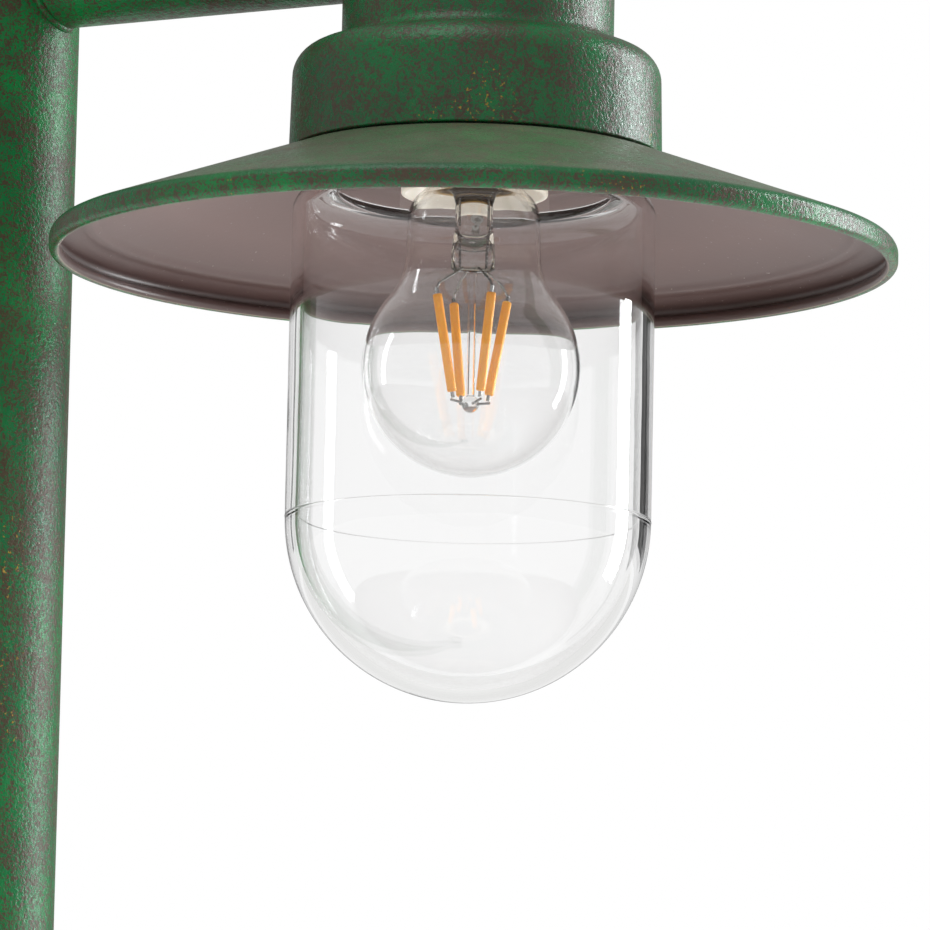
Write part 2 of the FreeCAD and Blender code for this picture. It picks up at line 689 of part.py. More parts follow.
def terminal_gear():
    """The rail welded to the pole's back wall, with its terminal block and earth stud."""
    back = pole_bore - rail_standoff
    face = back - rail_thickness
    bar = block("rail_bar", (rail_thickness, rail_width, rail_length),
                (face, -rail_width / 2.0, door_height - rail_length / 2.0))
    feet = []
    for number, way in enumerate((1.0, -1.0)):
        height = door_height + (rail_length / 2.0 - rail_width / 2.0) * way
        feet.append(cylinder(f"rail_foot_{number}", stud_radius * 1.5, rail_standoff * 2.0,
                             (back, 0.0, height), "X"))
    bore = cylinder("rail_bore", pole_bore, door_length * 2.0, (0.0, 0.0, door_height - door_length))
    piece(shared("rail_trimmed", [joined("rail_whole", [bar] + feet), bore]), "terminal_rail")

    body = block("block_body", (block_depth, block_width, block_length),
                 (face - block_depth, -block_width / 2.0, door_height - block_length / 2.0))
    screws = []
    wells = []
    for row in (-1.0, 0.0, 1.0):
        for way in (1.0, -1.0):
            number = len(wells)
            at = (face - block_depth, terminal_pitch * row, door_height + terminal_reach * way)
            wells.append(cylinder(f"well_{number}", small_head + screw_gap, small_head_height * 2.0,
                                  at, "X"))
            seat = (at[0] + small_head_height * 2.0, at[1], at[2])
            screws.append(cylinder(f"terminal_screw_{number}", small_head, small_head_height, seat,
                                   "-X"))
    piece(cut("block_drilled", body, joined("block_wells", wells)), "terminal_block")
    piece(group("terminal_screw_group", screws), "terminal_screws")

    foot = (face, 0.0, door_height - stud_drop)
    stud = cylinder("stud_rod", stud_radius, stud_length, foot, "-X")
    nut = hexagon("stud_hexagon", stud_nut, stud_nut_height, foot, "-X")
    piece(joined("stud_whole", [stud, nut]), "earth_stud")


def round_bar(runs_and_arcs, radius):
    """A solid round bar swept along straight runs and tangent arcs."""
    wire = Part.Wire(runs_and_arcs)
    start = wire.Edges[0].valueAt(wire.Edges[0].FirstParameter)
    heading = wire.Edges[0].tangentAt(wire.Edges[0].FirstParameter)
    profile = Part.Wire(Part.makeCircle(radius, start, heading))
    return wire.makePipeShell([profile], True, False)


def lamp_lead():
    """The lead from the terminal block up the pole, along the arm and into the lampholder."""
    foot = Vector(0, 0, (door_height + block_length / 2.0).value)
    up = arm_height.value
    bend = lead_bend_pole.value
    drop = lead_bend_head.value
    axis = arm_reach.value
    diagonal = math.sqrt(0.5)
    lower = Vector(0, 0, up - bend)
    lower_middle = Vector(bend * (1.0 - diagonal), 0, up - bend * (1.0 - diagonal))
    into_arm = Vector(bend, 0, up)
    out_of_arm = Vector(axis - drop, 0, up)
    upper_middle = Vector(axis - drop * (1.0 - diagonal), 0, up - drop * (1.0 - diagonal))
    down = Vector(axis, 0, up - drop)
    end = Vector(axis, 0, (rim_height + holder_top - holder_web).value)
    edges = [
        Part.LineSegment(foot, lower).toShape(),
        Part.Arc(lower, lower_middle, into_arm).toShape(),
        Part.LineSegment(into_arm, out_of_arm).toShape(),
        Part.Arc(out_of_arm, upper_middle, down).toShape(),
        Part.LineSegment(down, end).toShape(),
    ]
    lead = doc.addObject("Part::Feature", "lamp_lead")
    lead.Shape = round_bar(edges, lead_radius.value)
    piece(lead, "lamp_lead")


# ---------------------------------------------------------------- arm
def arm_tube():
    """The side arm: saddle-cut to the pole at one end, home in the casting's socket at the other."""
    end = arm_reach - neck_radius + socket_depth
    outer = cylinder("arm_outer", arm_radius, end, (0.0, 0.0, arm_height), "X")
    inner = cylinder("arm_inner", arm_bore, end, (0.0, 0.0, arm_height), "X")
    saddle = cylinder("arm_saddle", pole_radius, arm_radius * 4.0,
                      (0.0, 0.0, arm_height - arm_radius * 2.0))
    piece(cut("arm_cut", outer, joined("arm_hollow", [inner, saddle])), "arm_tube")


# ---------------------------------------------------------------- lantern casting
def lantern_casting():
    """One aluminium casting: collar, neck and domed top, with the arm socket inside."""
    upright = collar_foot + collar_height
    shoulder_radius = collar_radius - collar_draft
    shelf = upright + collar_shoulder
    top = neck_end + neck_dome
    dome = (neck_radius * neck_radius + neck_dome * neck_dome) / (2.0 * neck_dome)
    inner_dome = (neck_cavity * neck_cavity + cavity_dome * cavity_dome) / (2.0 * cavity_dome)
    ledge = thread_bore - ledge_width
    body = turned("lantern_casting", [
        (thread_bore, collar_foot), (collar_radius, collar_foot),
        (shoulder_radius, upright, collar_shoulder),
        (shoulder_radius - collar_shoulder, shelf),
        (neck_radius + neck_fillet, shelf, -neck_fillet),
        (neck_radius, shelf + neck_fillet),
        (neck_radius, neck_end, dome),
        (0.0, top),
        (0.0, neck_end - casting_wall + cavity_dome, -inner_dome),
        (neck_cavity, neck_end - casting_wall), (neck_cavity, shelf),
        (ledge, ledge_height), (thread_bore, ledge_height)])
    wall_lap = casting_wall / 2.0
    mouth = neck_radius - socket_depth
    boss = blank_sketch(body, "YZ_Plane", -(neck_cavity + wall_lap))
    draw_circle(boss, arm_radius + socket_wall, (0.0, arm_rise))
    pad(body, boss, neck_cavity + wall_lap - mouth)
    for way in (1.0, -1.0):
        lug = blank_sketch(body, "XY_Plane", holder_top + bracket_thickness)
        near = (neck_cavity - lug_reach) * way
        far = (neck_cavity + wall_lap) * way
        low, high = (near, far) if way > 0 else (far, near)
        side = lug_width / 2.0
        draw_outline(lug, [(-side, low), (side, low), (side, high), (-side, high)])
        pad(body, lug, lug_height)
    drill(body, "YZ_Plane", (0.0, arm_rise), arm_radius + screw_gap, 0.0,
          neck_radius * PAST_THE_WALL)
    for across in socket_screw_places():
        drill(body, "XY_Plane", (across, 0.0), grub_radius + screw_gap, arm_rise,
              arm_radius * PAST_THE_WALL)
    for way in (1.0, -1.0):
        drill(body, "XY_Plane", (0.0, bracket_screw_place() * way), small_screw + screw_gap,
              holder_top + bracket_thickness + lug_height, lug_height * PAST_THE_WALL)
    hole = drill(body, "XY_Plane", (shade_screw_circle, 0.0), small_screw + screw_gap,
                 collar_foot + shade_screw_grip + blind_end, shade_screw_grip * PAST_THE_WALL)
    polar(body, hole, SHADE_SCREWS)
    in_lantern(body, "lantern_casting")

    grubs = []
    for number, across in enumerate(socket_screw_places()):
        foot = arm_rise - arm_radius - socket_wall - grub_radius
        grub = cylinder(f"arm_grub_{number}", grub_radius, socket_wall + grub_radius,
                        (across, 0.0, foot))
        drive = hexagon(f"arm_grub_drive_{number}", grub_radius * DRIVE_WIDTH, grub_radius,
                        (across, 0.0, foot))
        grubs.append(cut(f"arm_grub_cut_{number}", grub, drive))
    in_lantern(group("arm_grub_group", grubs), "arm_grub_screws")


def socket_screw_places():
    """Where the arm's two grub screws sit along the socket."""
    mouth = neck_radius - socket_margin
    return -mouth, -(neck_radius - socket_depth + socket_margin)


def bracket_screw_place():
    return neck_cavity - lug_reach / 2.0


# ---------------------------------------------------------------- shade
def shade():
    """A spun cone with an upright edge rolled inwards at the rim."""
    rise = shade_height - shade_skirt
    run = shade_radius - flange_radius
    slope = rise / run
    stretch = root(slope * slope + 1.0)
    underside = flange_radius - shade_sheet * (stretch - 1.0) / slope
    inner_edge = shade_radius - shade_sheet
    edge_height = shade_skirt + shade_sheet * slope - shade_sheet * stretch
    roll_axis = shade_radius - roll_radius
    body = turned("shade", [
        (shade_radius, shade_skirt), (flange_radius, shade_height), (flange_bore, shade_height),
        (flange_bore, shade_height - shade_sheet), (underside, shade_height - shade_sheet),
        (inner_edge, edge_height), (inner_edge, roll_radius * 2.0),
        (roll_axis, roll_radius * 2.0, roll_radius),
        (roll_axis - roll_radius, roll_radius, roll_radius), (roll_axis, 0.0, roll_radius),
        (shade_radius, roll_radius)])
    gasket_edge = flange_radius - gasket_inset
    gasket = turned("shade_gasket", [
        (flange_bore, shade_height), (gasket_edge, shade_height), (gasket_edge, collar_foot),
        (flange_bore, collar_foot)])
    for ring, label in ((body, "shade"), (gasket, "shade_gasket")):
        hole = drill(ring, "XY_Plane", (shade_screw_circle, 0.0), small_screw + through_gap,
                     collar_foot, shade_sheet + gasket_thickness)
        polar(ring, hole, SHADE_SCREWS)
        in_lantern(ring, label)

    screws = []
    for number in range(SHADE_SCREWS):
        angle = 2.0 * math.pi / SHADE_SCREWS * number
        at = (shade_screw_circle * math.cos(angle), shade_screw_circle * math.sin(angle),
              shade_height - shade_sheet)
        length = shade_sheet + gasket_thickness + shade_screw_grip
        screws.append(headed_screw(f"shade_screw_{number}", at, "Z", small_screw, length,
                                   small_head, small_head_height))
    in_lantern(group("shade_screw_group", screws), "shade_screws")


# ---------------------------------------------------------------- well glass
def well_glass():
    """A clear jar, closed by a hemisphere and open at its threaded neck."""
    seam = -glass_drop
    bore = glass_radius - glass_wall
    thread_root = thread_crest - thread_depth
    neck_bore = thread_root - glass_wall
    neck_top = collar_foot + glass_engagement
    shoulder = glass_top - glass_shoulder
    inner_bend = glass_shoulder - glass_wall
    half = thread_pitch / 4.0
    outline = [
        (0.0, seam - glass_radius, glass_radius), (glass_radius, seam),
        (glass_radius, shoulder, glass_shoulder), (glass_radius - glass_shoulder, glass_top),
        (thread_root, glass_top + thread_depth)]
    for turn in range(2):
        middle = collar_foot + thread_pitch * (0.5 + turn)
        outline += [(thread_root, middle - half), (thread_crest, middle - half / 2.0),
                    (thread_crest, middle + half / 2.0), (thread_root, middle + half)]
    outline += [
        (thread_root, neck_top), (neck_bore, neck_top), (neck_bore, glass_top - glass_wall),
        (bore - inner_bend, glass_top - glass_wall, -inner_bend), (bore, shoulder),
        (bore, seam, -bore), (0.0, seam - bore)]
    in_lantern(turned("well_glass", outline), "well_glass")

    seal = turned("glass_gasket", [
        (thread_bore - ledge_width, ledge_height - seal_thickness),
        (thread_crest, ledge_height - seal_thickness), (thread_crest, ledge_height),
        (thread_bore - ledge_width, ledge_height)])
    in_lantern(seal, "glass_gasket")


# ---------------------------------------------------------------- lampholder
def lampholder():
    mouth = holder_radius - holder_lip_wall
    web_top = holder_top - holder_web
    web_foot = web_top - web_thickness
    body = turned("lampholder_body", [
        (mouth, holder_lip), (holder_radius, holder_lip),
        (holder_radius, holder_top - holder_crown, holder_crown),
        (holder_radius - holder_crown, holder_top), (nipple_radius, holder_top),
        (nipple_radius, web_top), (contact_stem, web_top), (contact_stem, web_foot),
        (holder_bore, web_foot), (holder_bore, holder_lip + holder_throat)])
    in_lantern(body, "lampholder_body")

    shell_radius = holder_bore - screw_gap
    shell_inner = shell_radius - shell_wall
    shell_foot = holder_lip + holder_throat
    shell = turned("screw_shell", [
        (shell_inner, shell_foot), (shell_radius, shell_foot), (shell_radius, web_foot),
        (contact_radius * 1.6, web_foot), (contact_radius * 1.6, web_foot - shell_wall),
        (shell_inner, web_foot - shell_wall)])
    in_lantern(shell, "screw_shell")

    tip = bulb_top() + tip_gap
    contact = turned("centre_contact", [
        (0.0, tip), (contact_radius, tip), (contact_radius, tip + shell_wall),
        (contact_stem, tip + shell_wall), (contact_stem, web_top), (0.0, web_top)])
    in_lantern(contact, "centre_contact")

    span = neck_cavity - seat_gap * 2.0
    strap = block("bracket_strap", (lug_width, span * 2.0, bracket_thickness),
                  (-lug_width / 2.0, -span, holder_top))
    holes = [cylinder("bracket_bore", nipple_radius + screw_gap, bracket_thickness,
                      (0.0, 0.0, holder_top))]
    screws = []
    for number, way in enumerate((1.0, -1.0)):
        at = (0.0, bracket_screw_place() * way, holder_top)
        holes.append(cylinder(f"bracket_hole_{number}", small_screw + through_gap,
                              bracket_thickness, at))
        screws.append(headed_screw(f"bracket_screw_{number}", at, "Z", small_screw,
                                   bracket_thickness + lug_height - blind_end, small_head,
                                   small_head_height))
    inside = cylinder("bracket_trim", neck_cavity, bracket_thickness, (0.0, 0.0, holder_top))
    trimmed = shared("bracket_round", [strap, inside])
    in_lantern(cut("bracket_cut", trimmed, joined("bracket_holes", holes)), "holder_bracket")
    in_lantern(group("bracket_screw_group", screws), "bracket_screws")

    nut_foot = holder_top + bracket_thickness
    nipple_top = nut_foot + nut_height + nipple_wall
    nipple = turned("holder_nipple", [
        (nipple_radius - nipple_wall, web_top), (nipple_radius, web_top),
        (nipple_radius, nipple_top), (nipple_radius - nipple_wall, nipple_top)])
    in_lantern(nipple, "holder_nipple")
    nut = cut("nut_cut", hexagon("nut_body", nut_radius, nut_height, (0.0, 0.0, nut_foot)),
              cylinder("nut_bore", nipple_radius, nut_height, (0.0, 0.0, nut_foot)))
    in_lantern(nut, "holder_nut")


# ---------------------------------------------------------------- bulb
def bulb_top():
    """The bulb's tip: its thread runs home against the centre contact."""
    web_foot = holder_top - holder_web - web_thickness
    return web_foot - shell_wall * 2.0 - tip_gap


def bulb_globe():
    """The glass envelope, a sphere that flows into the neck, and the cap it is cemented in."""
    tip = bulb_top()
    bottom = tip - bulb_length
    centre = bottom + globe_radius
    cap_foot = tip - cap_length
    reach = globe_radius + bulb_waist
    across = bulb_neck + bulb_waist
    lift = root(reach * reach - across * across)
    join_out = across * globe_radius / reach
    join_up = centre + lift * globe_radius / reach
    inner = globe_radius - bulb_glass
    inner_out = across * inner / reach
    inner_up = centre + lift * inner / reach
    throat_height = cap_foot - (bulb_throat - cap_bore)
    stub = cap_bore - screw_gap
    inner_stub = stub - bulb_glass
    stub_top = cap_foot + bulb_throat - bulb_neck + cap_pitch
    envelope = turned("bulb_envelope", [
        (0.0, bottom, globe_radius), (join_out, join_up, -bulb_waist), (bulb_neck, centre + lift),
        (bulb_throat, throat_height), (stub, cap_foot), (stub, stub_top), (inner_stub, stub_top),
        (inner_stub, cap_foot - bulb_glass), (bulb_throat - bulb_glass, throat_height - bulb_glass),
        (bulb_neck - bulb_glass, centre + lift, bulb_waist + bulb_glass), (inner_out, inner_up, -inner),
        (0.0, bottom + bulb_glass)])
    in_lantern(envelope, "bulb_envelope")


def bulb_cap():
    tip = bulb_top()
    cap_foot = tip - cap_length
    thread_root = cap_crest - cap_thread_depth
    outline = [(cap_bore, cap_foot), (cap_crest, cap_foot)]
    for turn in range(CAP_THREAD_TURNS):
        middle = cap_foot + cap_pitch * (0.75 + turn)
        outline += [(thread_root, middle), (cap_crest, middle + cap_pitch / 2.0)]
    crown = cap_foot + cap_pitch * (CAP_THREAD_TURNS + 0.6)
    shoulder = cap_bore - cap_shoulder
    outline += [(shoulder, crown), (shoulder - shell_wall, crown),
                (cap_bore, crown - cap_pitch / 2.0)]
    in_lantern(turned("bulb_cap", outline), "bulb_cap")

    waist = contact_radius * 1.5
    rim = tip - tip_rise
    insulator = turned("bulb_cap_insulator", [
        (0.0, crown), (shoulder, crown), (waist, rim), (0.0, rim)])
    in_lantern(insulator, "bulb_cap_insulator")
    contact = turned("bulb_tip_contact", [
        (0.0, rim), (contact_radius + screw_gap, rim), (contact_radius, tip), (0.0, tip)])
    in_lantern(contact, "bulb_tip_contact")

    width = cap_bore - screw_gap * 3.0
    foot = cap_foot + cap_pitch
    board = block("driver_board", (width * 2.0, driver_thickness, cap_pitch * 3.0),
                  (-width, -driver_thickness / 2.0, foot))
    can = cylinder("driver_capacitor", contact_radius, cap_pitch * 2.0, (0.0, contact_radius, foot))
    in_lantern(joined("driver_whole", [board, can]), "bulb_driver")


def filament_heights():
    """Height of the filaments' upper and lower ends."""
    upper = bulb_top() - bulb_length + globe_radius + filament_rise
    return upper, upper - filament_drop


def bulb_stem():
    """The glass stem: flared into the neck, flattened round the lead-in wires at its end."""
    upper, _ = filament_heights()
    cap_foot = bulb_top() - cap_length
    pinch_foot = upper + stem_gap
    pinch_top = pinch_foot + pinch_length
    stem_bore = stem_radius - stem_wall
    flare = cap_bore - screw_gap * 2.0 - bulb_glass * 2.0
    flare_top = cap_foot + stem_wall
    flare_foot = flare_top - (flare - stem_radius)
    tube = turned("stem_tube", [
        (0.0, pinch_top - stem_wall), (stem_bore, pinch_top - stem_wall),
        (stem_radius, pinch_top), (stem_radius, flare_foot), (flare, flare_top),
        (flare - stem_wall, flare_top), (stem_bore, flare_foot),
        (stem_bore, pinch_top + stem_wall), (0.0, pinch_top + stem_wall)])
    plate = block("stem_pinch", (pinch_width, pinch_thickness, pinch_length),
                  (-pinch_width / 2.0, -pinch_thickness / 2.0, pinch_foot))
    stem = joined("stem_whole", [tube, plate])
    stem.Placement.Rotation = FreeCAD.Rotation(Vector(0, 0, 1), BULB_TURN)
    in_lantern(stem, "bulb_stem")


def rod_between(start, finish, radius):
    return Part.makeCylinder(radius, (finish - start).Length, start, finish - start)


def bead_middle():
    """Height of the glass bead on the end of the centre rod."""
    return filament_heights()[1] - bead_radius / 2.0


def bulb_filaments():
    """Four filaments that lean in towards the foot, on wires from the stem and the glass bead."""
    upper, lower = [size.value for size in filament_heights()]
    stem_end = upper + stem_gap.value
    bead_height = bead_middle().value
    bead_side = bead_radius.value - wire_radius.value * 2.0
    wire = wire_radius.value
    filaments = []
    wires = []
    for number in range(FILAMENTS):
        angle = math.radians(FILAMENT_TURN + 360.0 / FILAMENTS * number)
        out = Vector(math.cos(angle), math.sin(angle), 0)
        head = out * filament_top_circle.value + Vector(0, 0, upper)
        foot = out * filament_foot_circle.value + Vector(0, 0, lower)
        lean = (foot - head).normalize()
        filaments.append(rod_between(head, foot, filament_radius.value))
        lead = out * (pinch_thickness.value / 4.0) + Vector(0, 0, stem_end + wire)
        anchor = out * bead_side + Vector(0, 0, bead_height)
        wires.append(rod_between(lead, head - lean * wire, wire))
        wires.append(rod_between(anchor, foot + lean * wire, wire))
    strips = doc.addObject("Part::Feature", "filament_strips")
    strips.Shape = Part.Compound(filaments)
    in_lantern(strips, "bulb_filaments")
    supports = doc.addObject("Part::Feature", "filament_supports")
    supports.Shape = Part.Compound(wires)
    in_lantern(supports, "bulb_support_wires")

    middle = bead_middle()
    reach = root(bead_radius * bead_radius - rod_radius * rod_radius)
    rod_top = filament_heights()[0] + stem_gap
    body = turned("bulb_centre_rod", [
        (0.0, middle - bead_radius, bead_radius), (bead_radius, middle, bead_radius),
        (rod_radius, middle + reach), (rod_radius, rod_top), (0.0, rod_top)])
    in_lantern(body, "bulb_centre_rod")


# ---------------------------------------------------------------- build and export
def build():
    base_plate()
    cable_grommet()
    base_gussets()
    base_cover()
    pole_tube()
    pole_cap()
    inspection_door()
    terminal_gear()
    lamp_lead()
    arm_tube()
    lantern_casting()
    shade()
    well_glass()
    lampholder()
    bulb_globe()
    bulb_cap()
    bulb_stem()
    bulb_filaments()
    doc.recompute()


def check_and_export():
    broken = [item.Name for item in doc.Objects
              if "Invalid" in item.State or "Error" in item.State]
    for target in pieces:
        if target.Shape.isNull() or not target.Shape.isValid() or not target.Shape.Solids:
            broken.append(target.Label)
    if broken:
        raise RuntimeError("these objects failed: " + ", ".join(broken))
    os.makedirs("parts", exist_ok=True)
    for target in pieces:
        target.Shape.exportStep(f"parts/{target.Label}.step")


build()
check_and_export()
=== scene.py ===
"""Street lamp post: the looks of the pole, its side arm, the shaded lantern and its bulb."""
import math

import bmesh
import bpy
from mathutils import Matrix, Vector


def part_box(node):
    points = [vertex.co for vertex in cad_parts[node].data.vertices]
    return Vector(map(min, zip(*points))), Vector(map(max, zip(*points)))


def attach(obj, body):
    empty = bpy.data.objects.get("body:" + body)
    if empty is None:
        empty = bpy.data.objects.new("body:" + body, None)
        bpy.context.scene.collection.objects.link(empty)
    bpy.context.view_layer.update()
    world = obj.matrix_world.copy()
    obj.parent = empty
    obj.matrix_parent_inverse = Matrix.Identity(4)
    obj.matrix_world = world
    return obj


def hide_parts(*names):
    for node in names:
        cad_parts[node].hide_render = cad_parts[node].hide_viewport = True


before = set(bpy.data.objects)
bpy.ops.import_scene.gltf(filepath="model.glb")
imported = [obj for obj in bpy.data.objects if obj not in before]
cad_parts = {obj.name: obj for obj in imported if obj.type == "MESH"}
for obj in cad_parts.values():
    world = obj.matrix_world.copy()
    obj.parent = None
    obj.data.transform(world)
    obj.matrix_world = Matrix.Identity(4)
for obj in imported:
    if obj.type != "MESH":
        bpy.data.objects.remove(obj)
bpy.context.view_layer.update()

# The camera: at eye height, 2 m from the lantern and a little to the right of the arm, looking
# up at the glass through a long lens.
shade_low, shade_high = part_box("shade")
lantern = (shade_low + shade_high) / 2.0
rim_height = shade_low.z
camera_distance = 2.0
camera_azimuth = math.radians(27.96)
camera_rise = math.radians(8.32)
camera_roll = math.radians(-1.18)
aim_below_rim = 0.0558
aim_left = 0.0011

camera_data = bpy.data.cameras.new("camera")
camera_data.lens = 283.4
camera_data.sensor_width = 36.0
camera_data.clip_start = 0.05
camera_data.clip_end = 200.0
camera = bpy.data.objects.new("camera", camera_data)
bpy.context.collection.objects.link(camera)
back = Vector((math.sin(camera_azimuth) * math.cos(camera_rise),
               -math.cos(camera_azimuth) * math.cos(camera_rise),
               -math.sin(camera_rise)))
rightwards = Vector((math.cos(camera_azimuth), math.sin(camera_azimuth), 0.0))
aim = Vector((lantern.x, lantern.y, rim_height - aim_below_rim)) - rightwards * aim_left
camera.rotation_mode = "QUATERNION"
camera.location = aim + back * camera_distance
facing = (-back).to_track_quat("-Z", "Y")
camera.rotation_quaternion = Matrix.Rotation(camera_roll, 3, -back).to_quaternion() @ facing
bpy.context.scene.camera = camera

# The studio: a pale floor, two soft lights and a white surround, which is dimmed as light and in
# reflections but stays bright through glass. Two dark cards behind the lantern draw the edges of
# its glass.
scene = bpy.context.scene
scene.view_settings.view_transform = "Standard"
scene.view_settings.look = "None"

world = bpy.data.worlds.new("studio")
scene.world = world
world.use_nodes = True
sky = world.node_tree
surround = sky.nodes["Background"]
surround.inputs["Color"].default_value = (1.0, 1.0, 1.0, 1.0)
ray = sky.nodes.new("ShaderNodeLightPath")
brightness = {"Is Diffuse Ray": 0.42, "Is Glossy Ray": 0.34, "Is Transmission Ray": 0.95}
strength = None
for kind, share in brightness.items():
    dimmer = sky.nodes.new("ShaderNodeMapRange")
    dimmer.inputs["To Min"].default_value = 1.0
    dimmer.inputs["To Max"].default_value = share
    sky.links.new(ray.outputs[kind], dimmer.inputs["Value"])
    if strength:
        sky.links.new(strength, dimmer.inputs["To Min"])
    strength = dimmer.outputs["Result"]
sky.links.new(strength, surround.inputs["Strength"])
# The bulb's stem lies inside two more shells of glass and renders darker at the usual limits.
scene.cycles.max_bounces = 32
scene.cycles.transmission_bounces = 28
scene.cycles.glossy_bounces = 12


def light_panel(name, place, target, size, power, tint):
    data = bpy.data.lights.new(name, "AREA")
    data.shape = "RECTANGLE"
    data.size, data.size_y = size
    data.energy = power
    data.color = tint
    panel = bpy.data.objects.new(name, data)
    bpy.context.collection.objects.link(panel)
    panel.location = place
    panel.rotation_mode = "QUATERNION"
    panel.rotation_quaternion = (place - target).to_track_quat("Z", "Y")


head_centre = Vector((lantern.x, lantern.y, rim_height))
light_panel("key_light", head_centre + rightwards * 2.1 - back * 1.0 + Vector((0, 0, 0.2)),
            head_centre, (0.3, 2.4), 62.0, (0.95, 0.98, 1.0))
light_panel("top_light", head_centre - rightwards * 0.6 + back * 0.8 + Vector((0, 0, 2.2)),
            head_centre, (1.6, 1.6), 12.0, (1.0, 1.0, 0.98))


def plain_material(name, colour, roughness):
    material = bpy.data.materials.new(name)
    material.use_nodes = True
    shader = material.node_tree.nodes["Principled BSDF"]
    shader.inputs["Base Color"].default_value = (*colour, 1.0)
    shader.inputs["Roughness"].default_value = roughness
    return material


floor_reach = 30.0
floor_glow = 0.45
floor_mesh = bmesh.new()
bmesh.ops.create_grid(floor_mesh, x_segments=1, y_segments=1, size=floor_reach)
floor_data = bpy.data.meshes.new("floor")
floor_mesh.to_mesh(floor_data)
floor_mesh.free()
floor = bpy.data.objects.new("floor", floor_data)
bpy.context.collection.objects.link(floor)
floor_material = plain_material("pale_floor", (0.8, 0.8, 0.79), 0.6)
floor_shader = floor_material.node_tree.nodes["Principled BSDF"]
floor_shader.inputs["Emission Color"].default_value = (1.0, 1.0, 0.99, 1.0)
floor_shader.inputs["Emission Strength"].default_value = floor_glow
floor_data.materials.append(floor_material)


def dark_card(name, sideways, forwards, height, size, shade_of_grey):
    """A card facing the lantern from behind, seen only by refraction and reflection."""
    card_mesh = bmesh.new()
    bmesh.ops.create_grid(card_mesh, x_segments=1, y_segments=1, size=0.5)
    bmesh.ops.scale(card_mesh, verts=card_mesh.verts, vec=(size[0], size[1], 1.0))
    place = head_centre + rightwards * sideways - back * forwards + Vector((0, 0, height))
    turn = (place - head_centre).to_track_quat("Z", "Y").to_matrix().to_4x4()
    bmesh.ops.transform(card_mesh, verts=card_mesh.verts, matrix=Matrix.Translation(place) @ turn)
    data = bpy.data.meshes.new(name)
    card_mesh.to_mesh(data)
    card_mesh.free()
    card = bpy.data.objects.new(name, data)
    bpy.context.collection.objects.link(card)
    data.materials.append(plain_material(f"{name}_grey", (shade_of_grey,) * 3, 0.9))
    card.visible_camera = False
    card.visible_diffuse = False
    card.visible_shadow = False


dark_card("right_card", 1.02, 2.0, 0.0, (0.72, 0.56), 0.01)
dark_card("left_card", -0.98, 2.0, 0.35, (0.14, 1.3), 0.05)

# The base plate: mild steel, flame cut and drilled, welded to the pole and brushed with the
# same two-tone green as the whole post: a brown coat below shows through in specks.


def colour(code):
    """A paint maker's six-figure colour as the linear light that a shader takes."""
    levels = [int(code[place:place + 2], 16) / 255.0 for place in (0, 2, 4)]
    return tuple(v / 12.92 if v <= 0.04045 else ((v + 0.055) / 1.055) ** 2.4 for v in levels)


def blank_material(name):
    material = bpy.data.materials.new(name)
    material.use_nodes = True
    tree = material.node_tree
    return material, tree, tree.nodes["Principled BSDF"]


def noise_field(tree, coordinates, scale, detail=4.0, roughness=0.6, distortion=0.0):
    """Fractal noise over the piece's own coordinates; scale counts waves in a metre."""
    field = tree.nodes.new("ShaderNodeTexNoise")
    field.inputs["Scale"].default_value = scale
    field.inputs["Detail"].default_value = detail
    field.inputs["Roughness"].default_value = roughness
    field.inputs["Distortion"].default_value = distortion
    tree.links.new(coordinates, field.inputs["Vector"])
    return field.outputs["Fac"]


def graded(tree, value, low, high, start=0.0, finish=1.0):
    """Map a field's range low..high to start..finish, held at both ends."""
    step = tree.nodes.new("ShaderNodeMapRange")
    step.inputs["From Min"].default_value = low
    step.inputs["From Max"].default_value = high
    step.inputs["To Min"].default_value = start
    step.inputs["To Max"].default_value = finish
    tree.links.new(value, step.inputs["Value"])
    return step.outputs["Result"]


def combined(tree, operation, first, second):
    step = tree.nodes.new("ShaderNodeMath")
    step.operation = operation
    for socket, value in zip(step.inputs, (first, second)):
        if isinstance(value, float):
            socket.default_value = value
        else:
            tree.links.new(value, socket)
    return step.outputs["Value"]


def blended(tree, amount, first, second):
    """Mix two colours, each a plain colour or the result of another mix."""
    step = tree.nodes.new("ShaderNodeMix")
    step.data_type = "RGBA"
    tree.links.new(amount, step.inputs["Factor"])
    for socket, value in ((step.inputs["A"], first), (step.inputs["B"], second)):
        if isinstance(value, tuple):
            socket.default_value = (*value, 1.0)
        else:
            tree.links.new(value, socket)
    return step.outputs["Result"]


def object_coordinates(tree):
    return tree.nodes.new("ShaderNodeTexCoord").outputs["Object"]


def relief(tree, shader, height, strength, depth):
    bump = tree.nodes.new("ShaderNodeBump")
    bump.inputs["Strength"].default_value = strength
    bump.inputs["Distance"].default_value = depth
    tree.links.new(height, bump.inputs["Height"])
    tree.links.new(bump.outputs["Normal"], shader.inputs["Normal"])


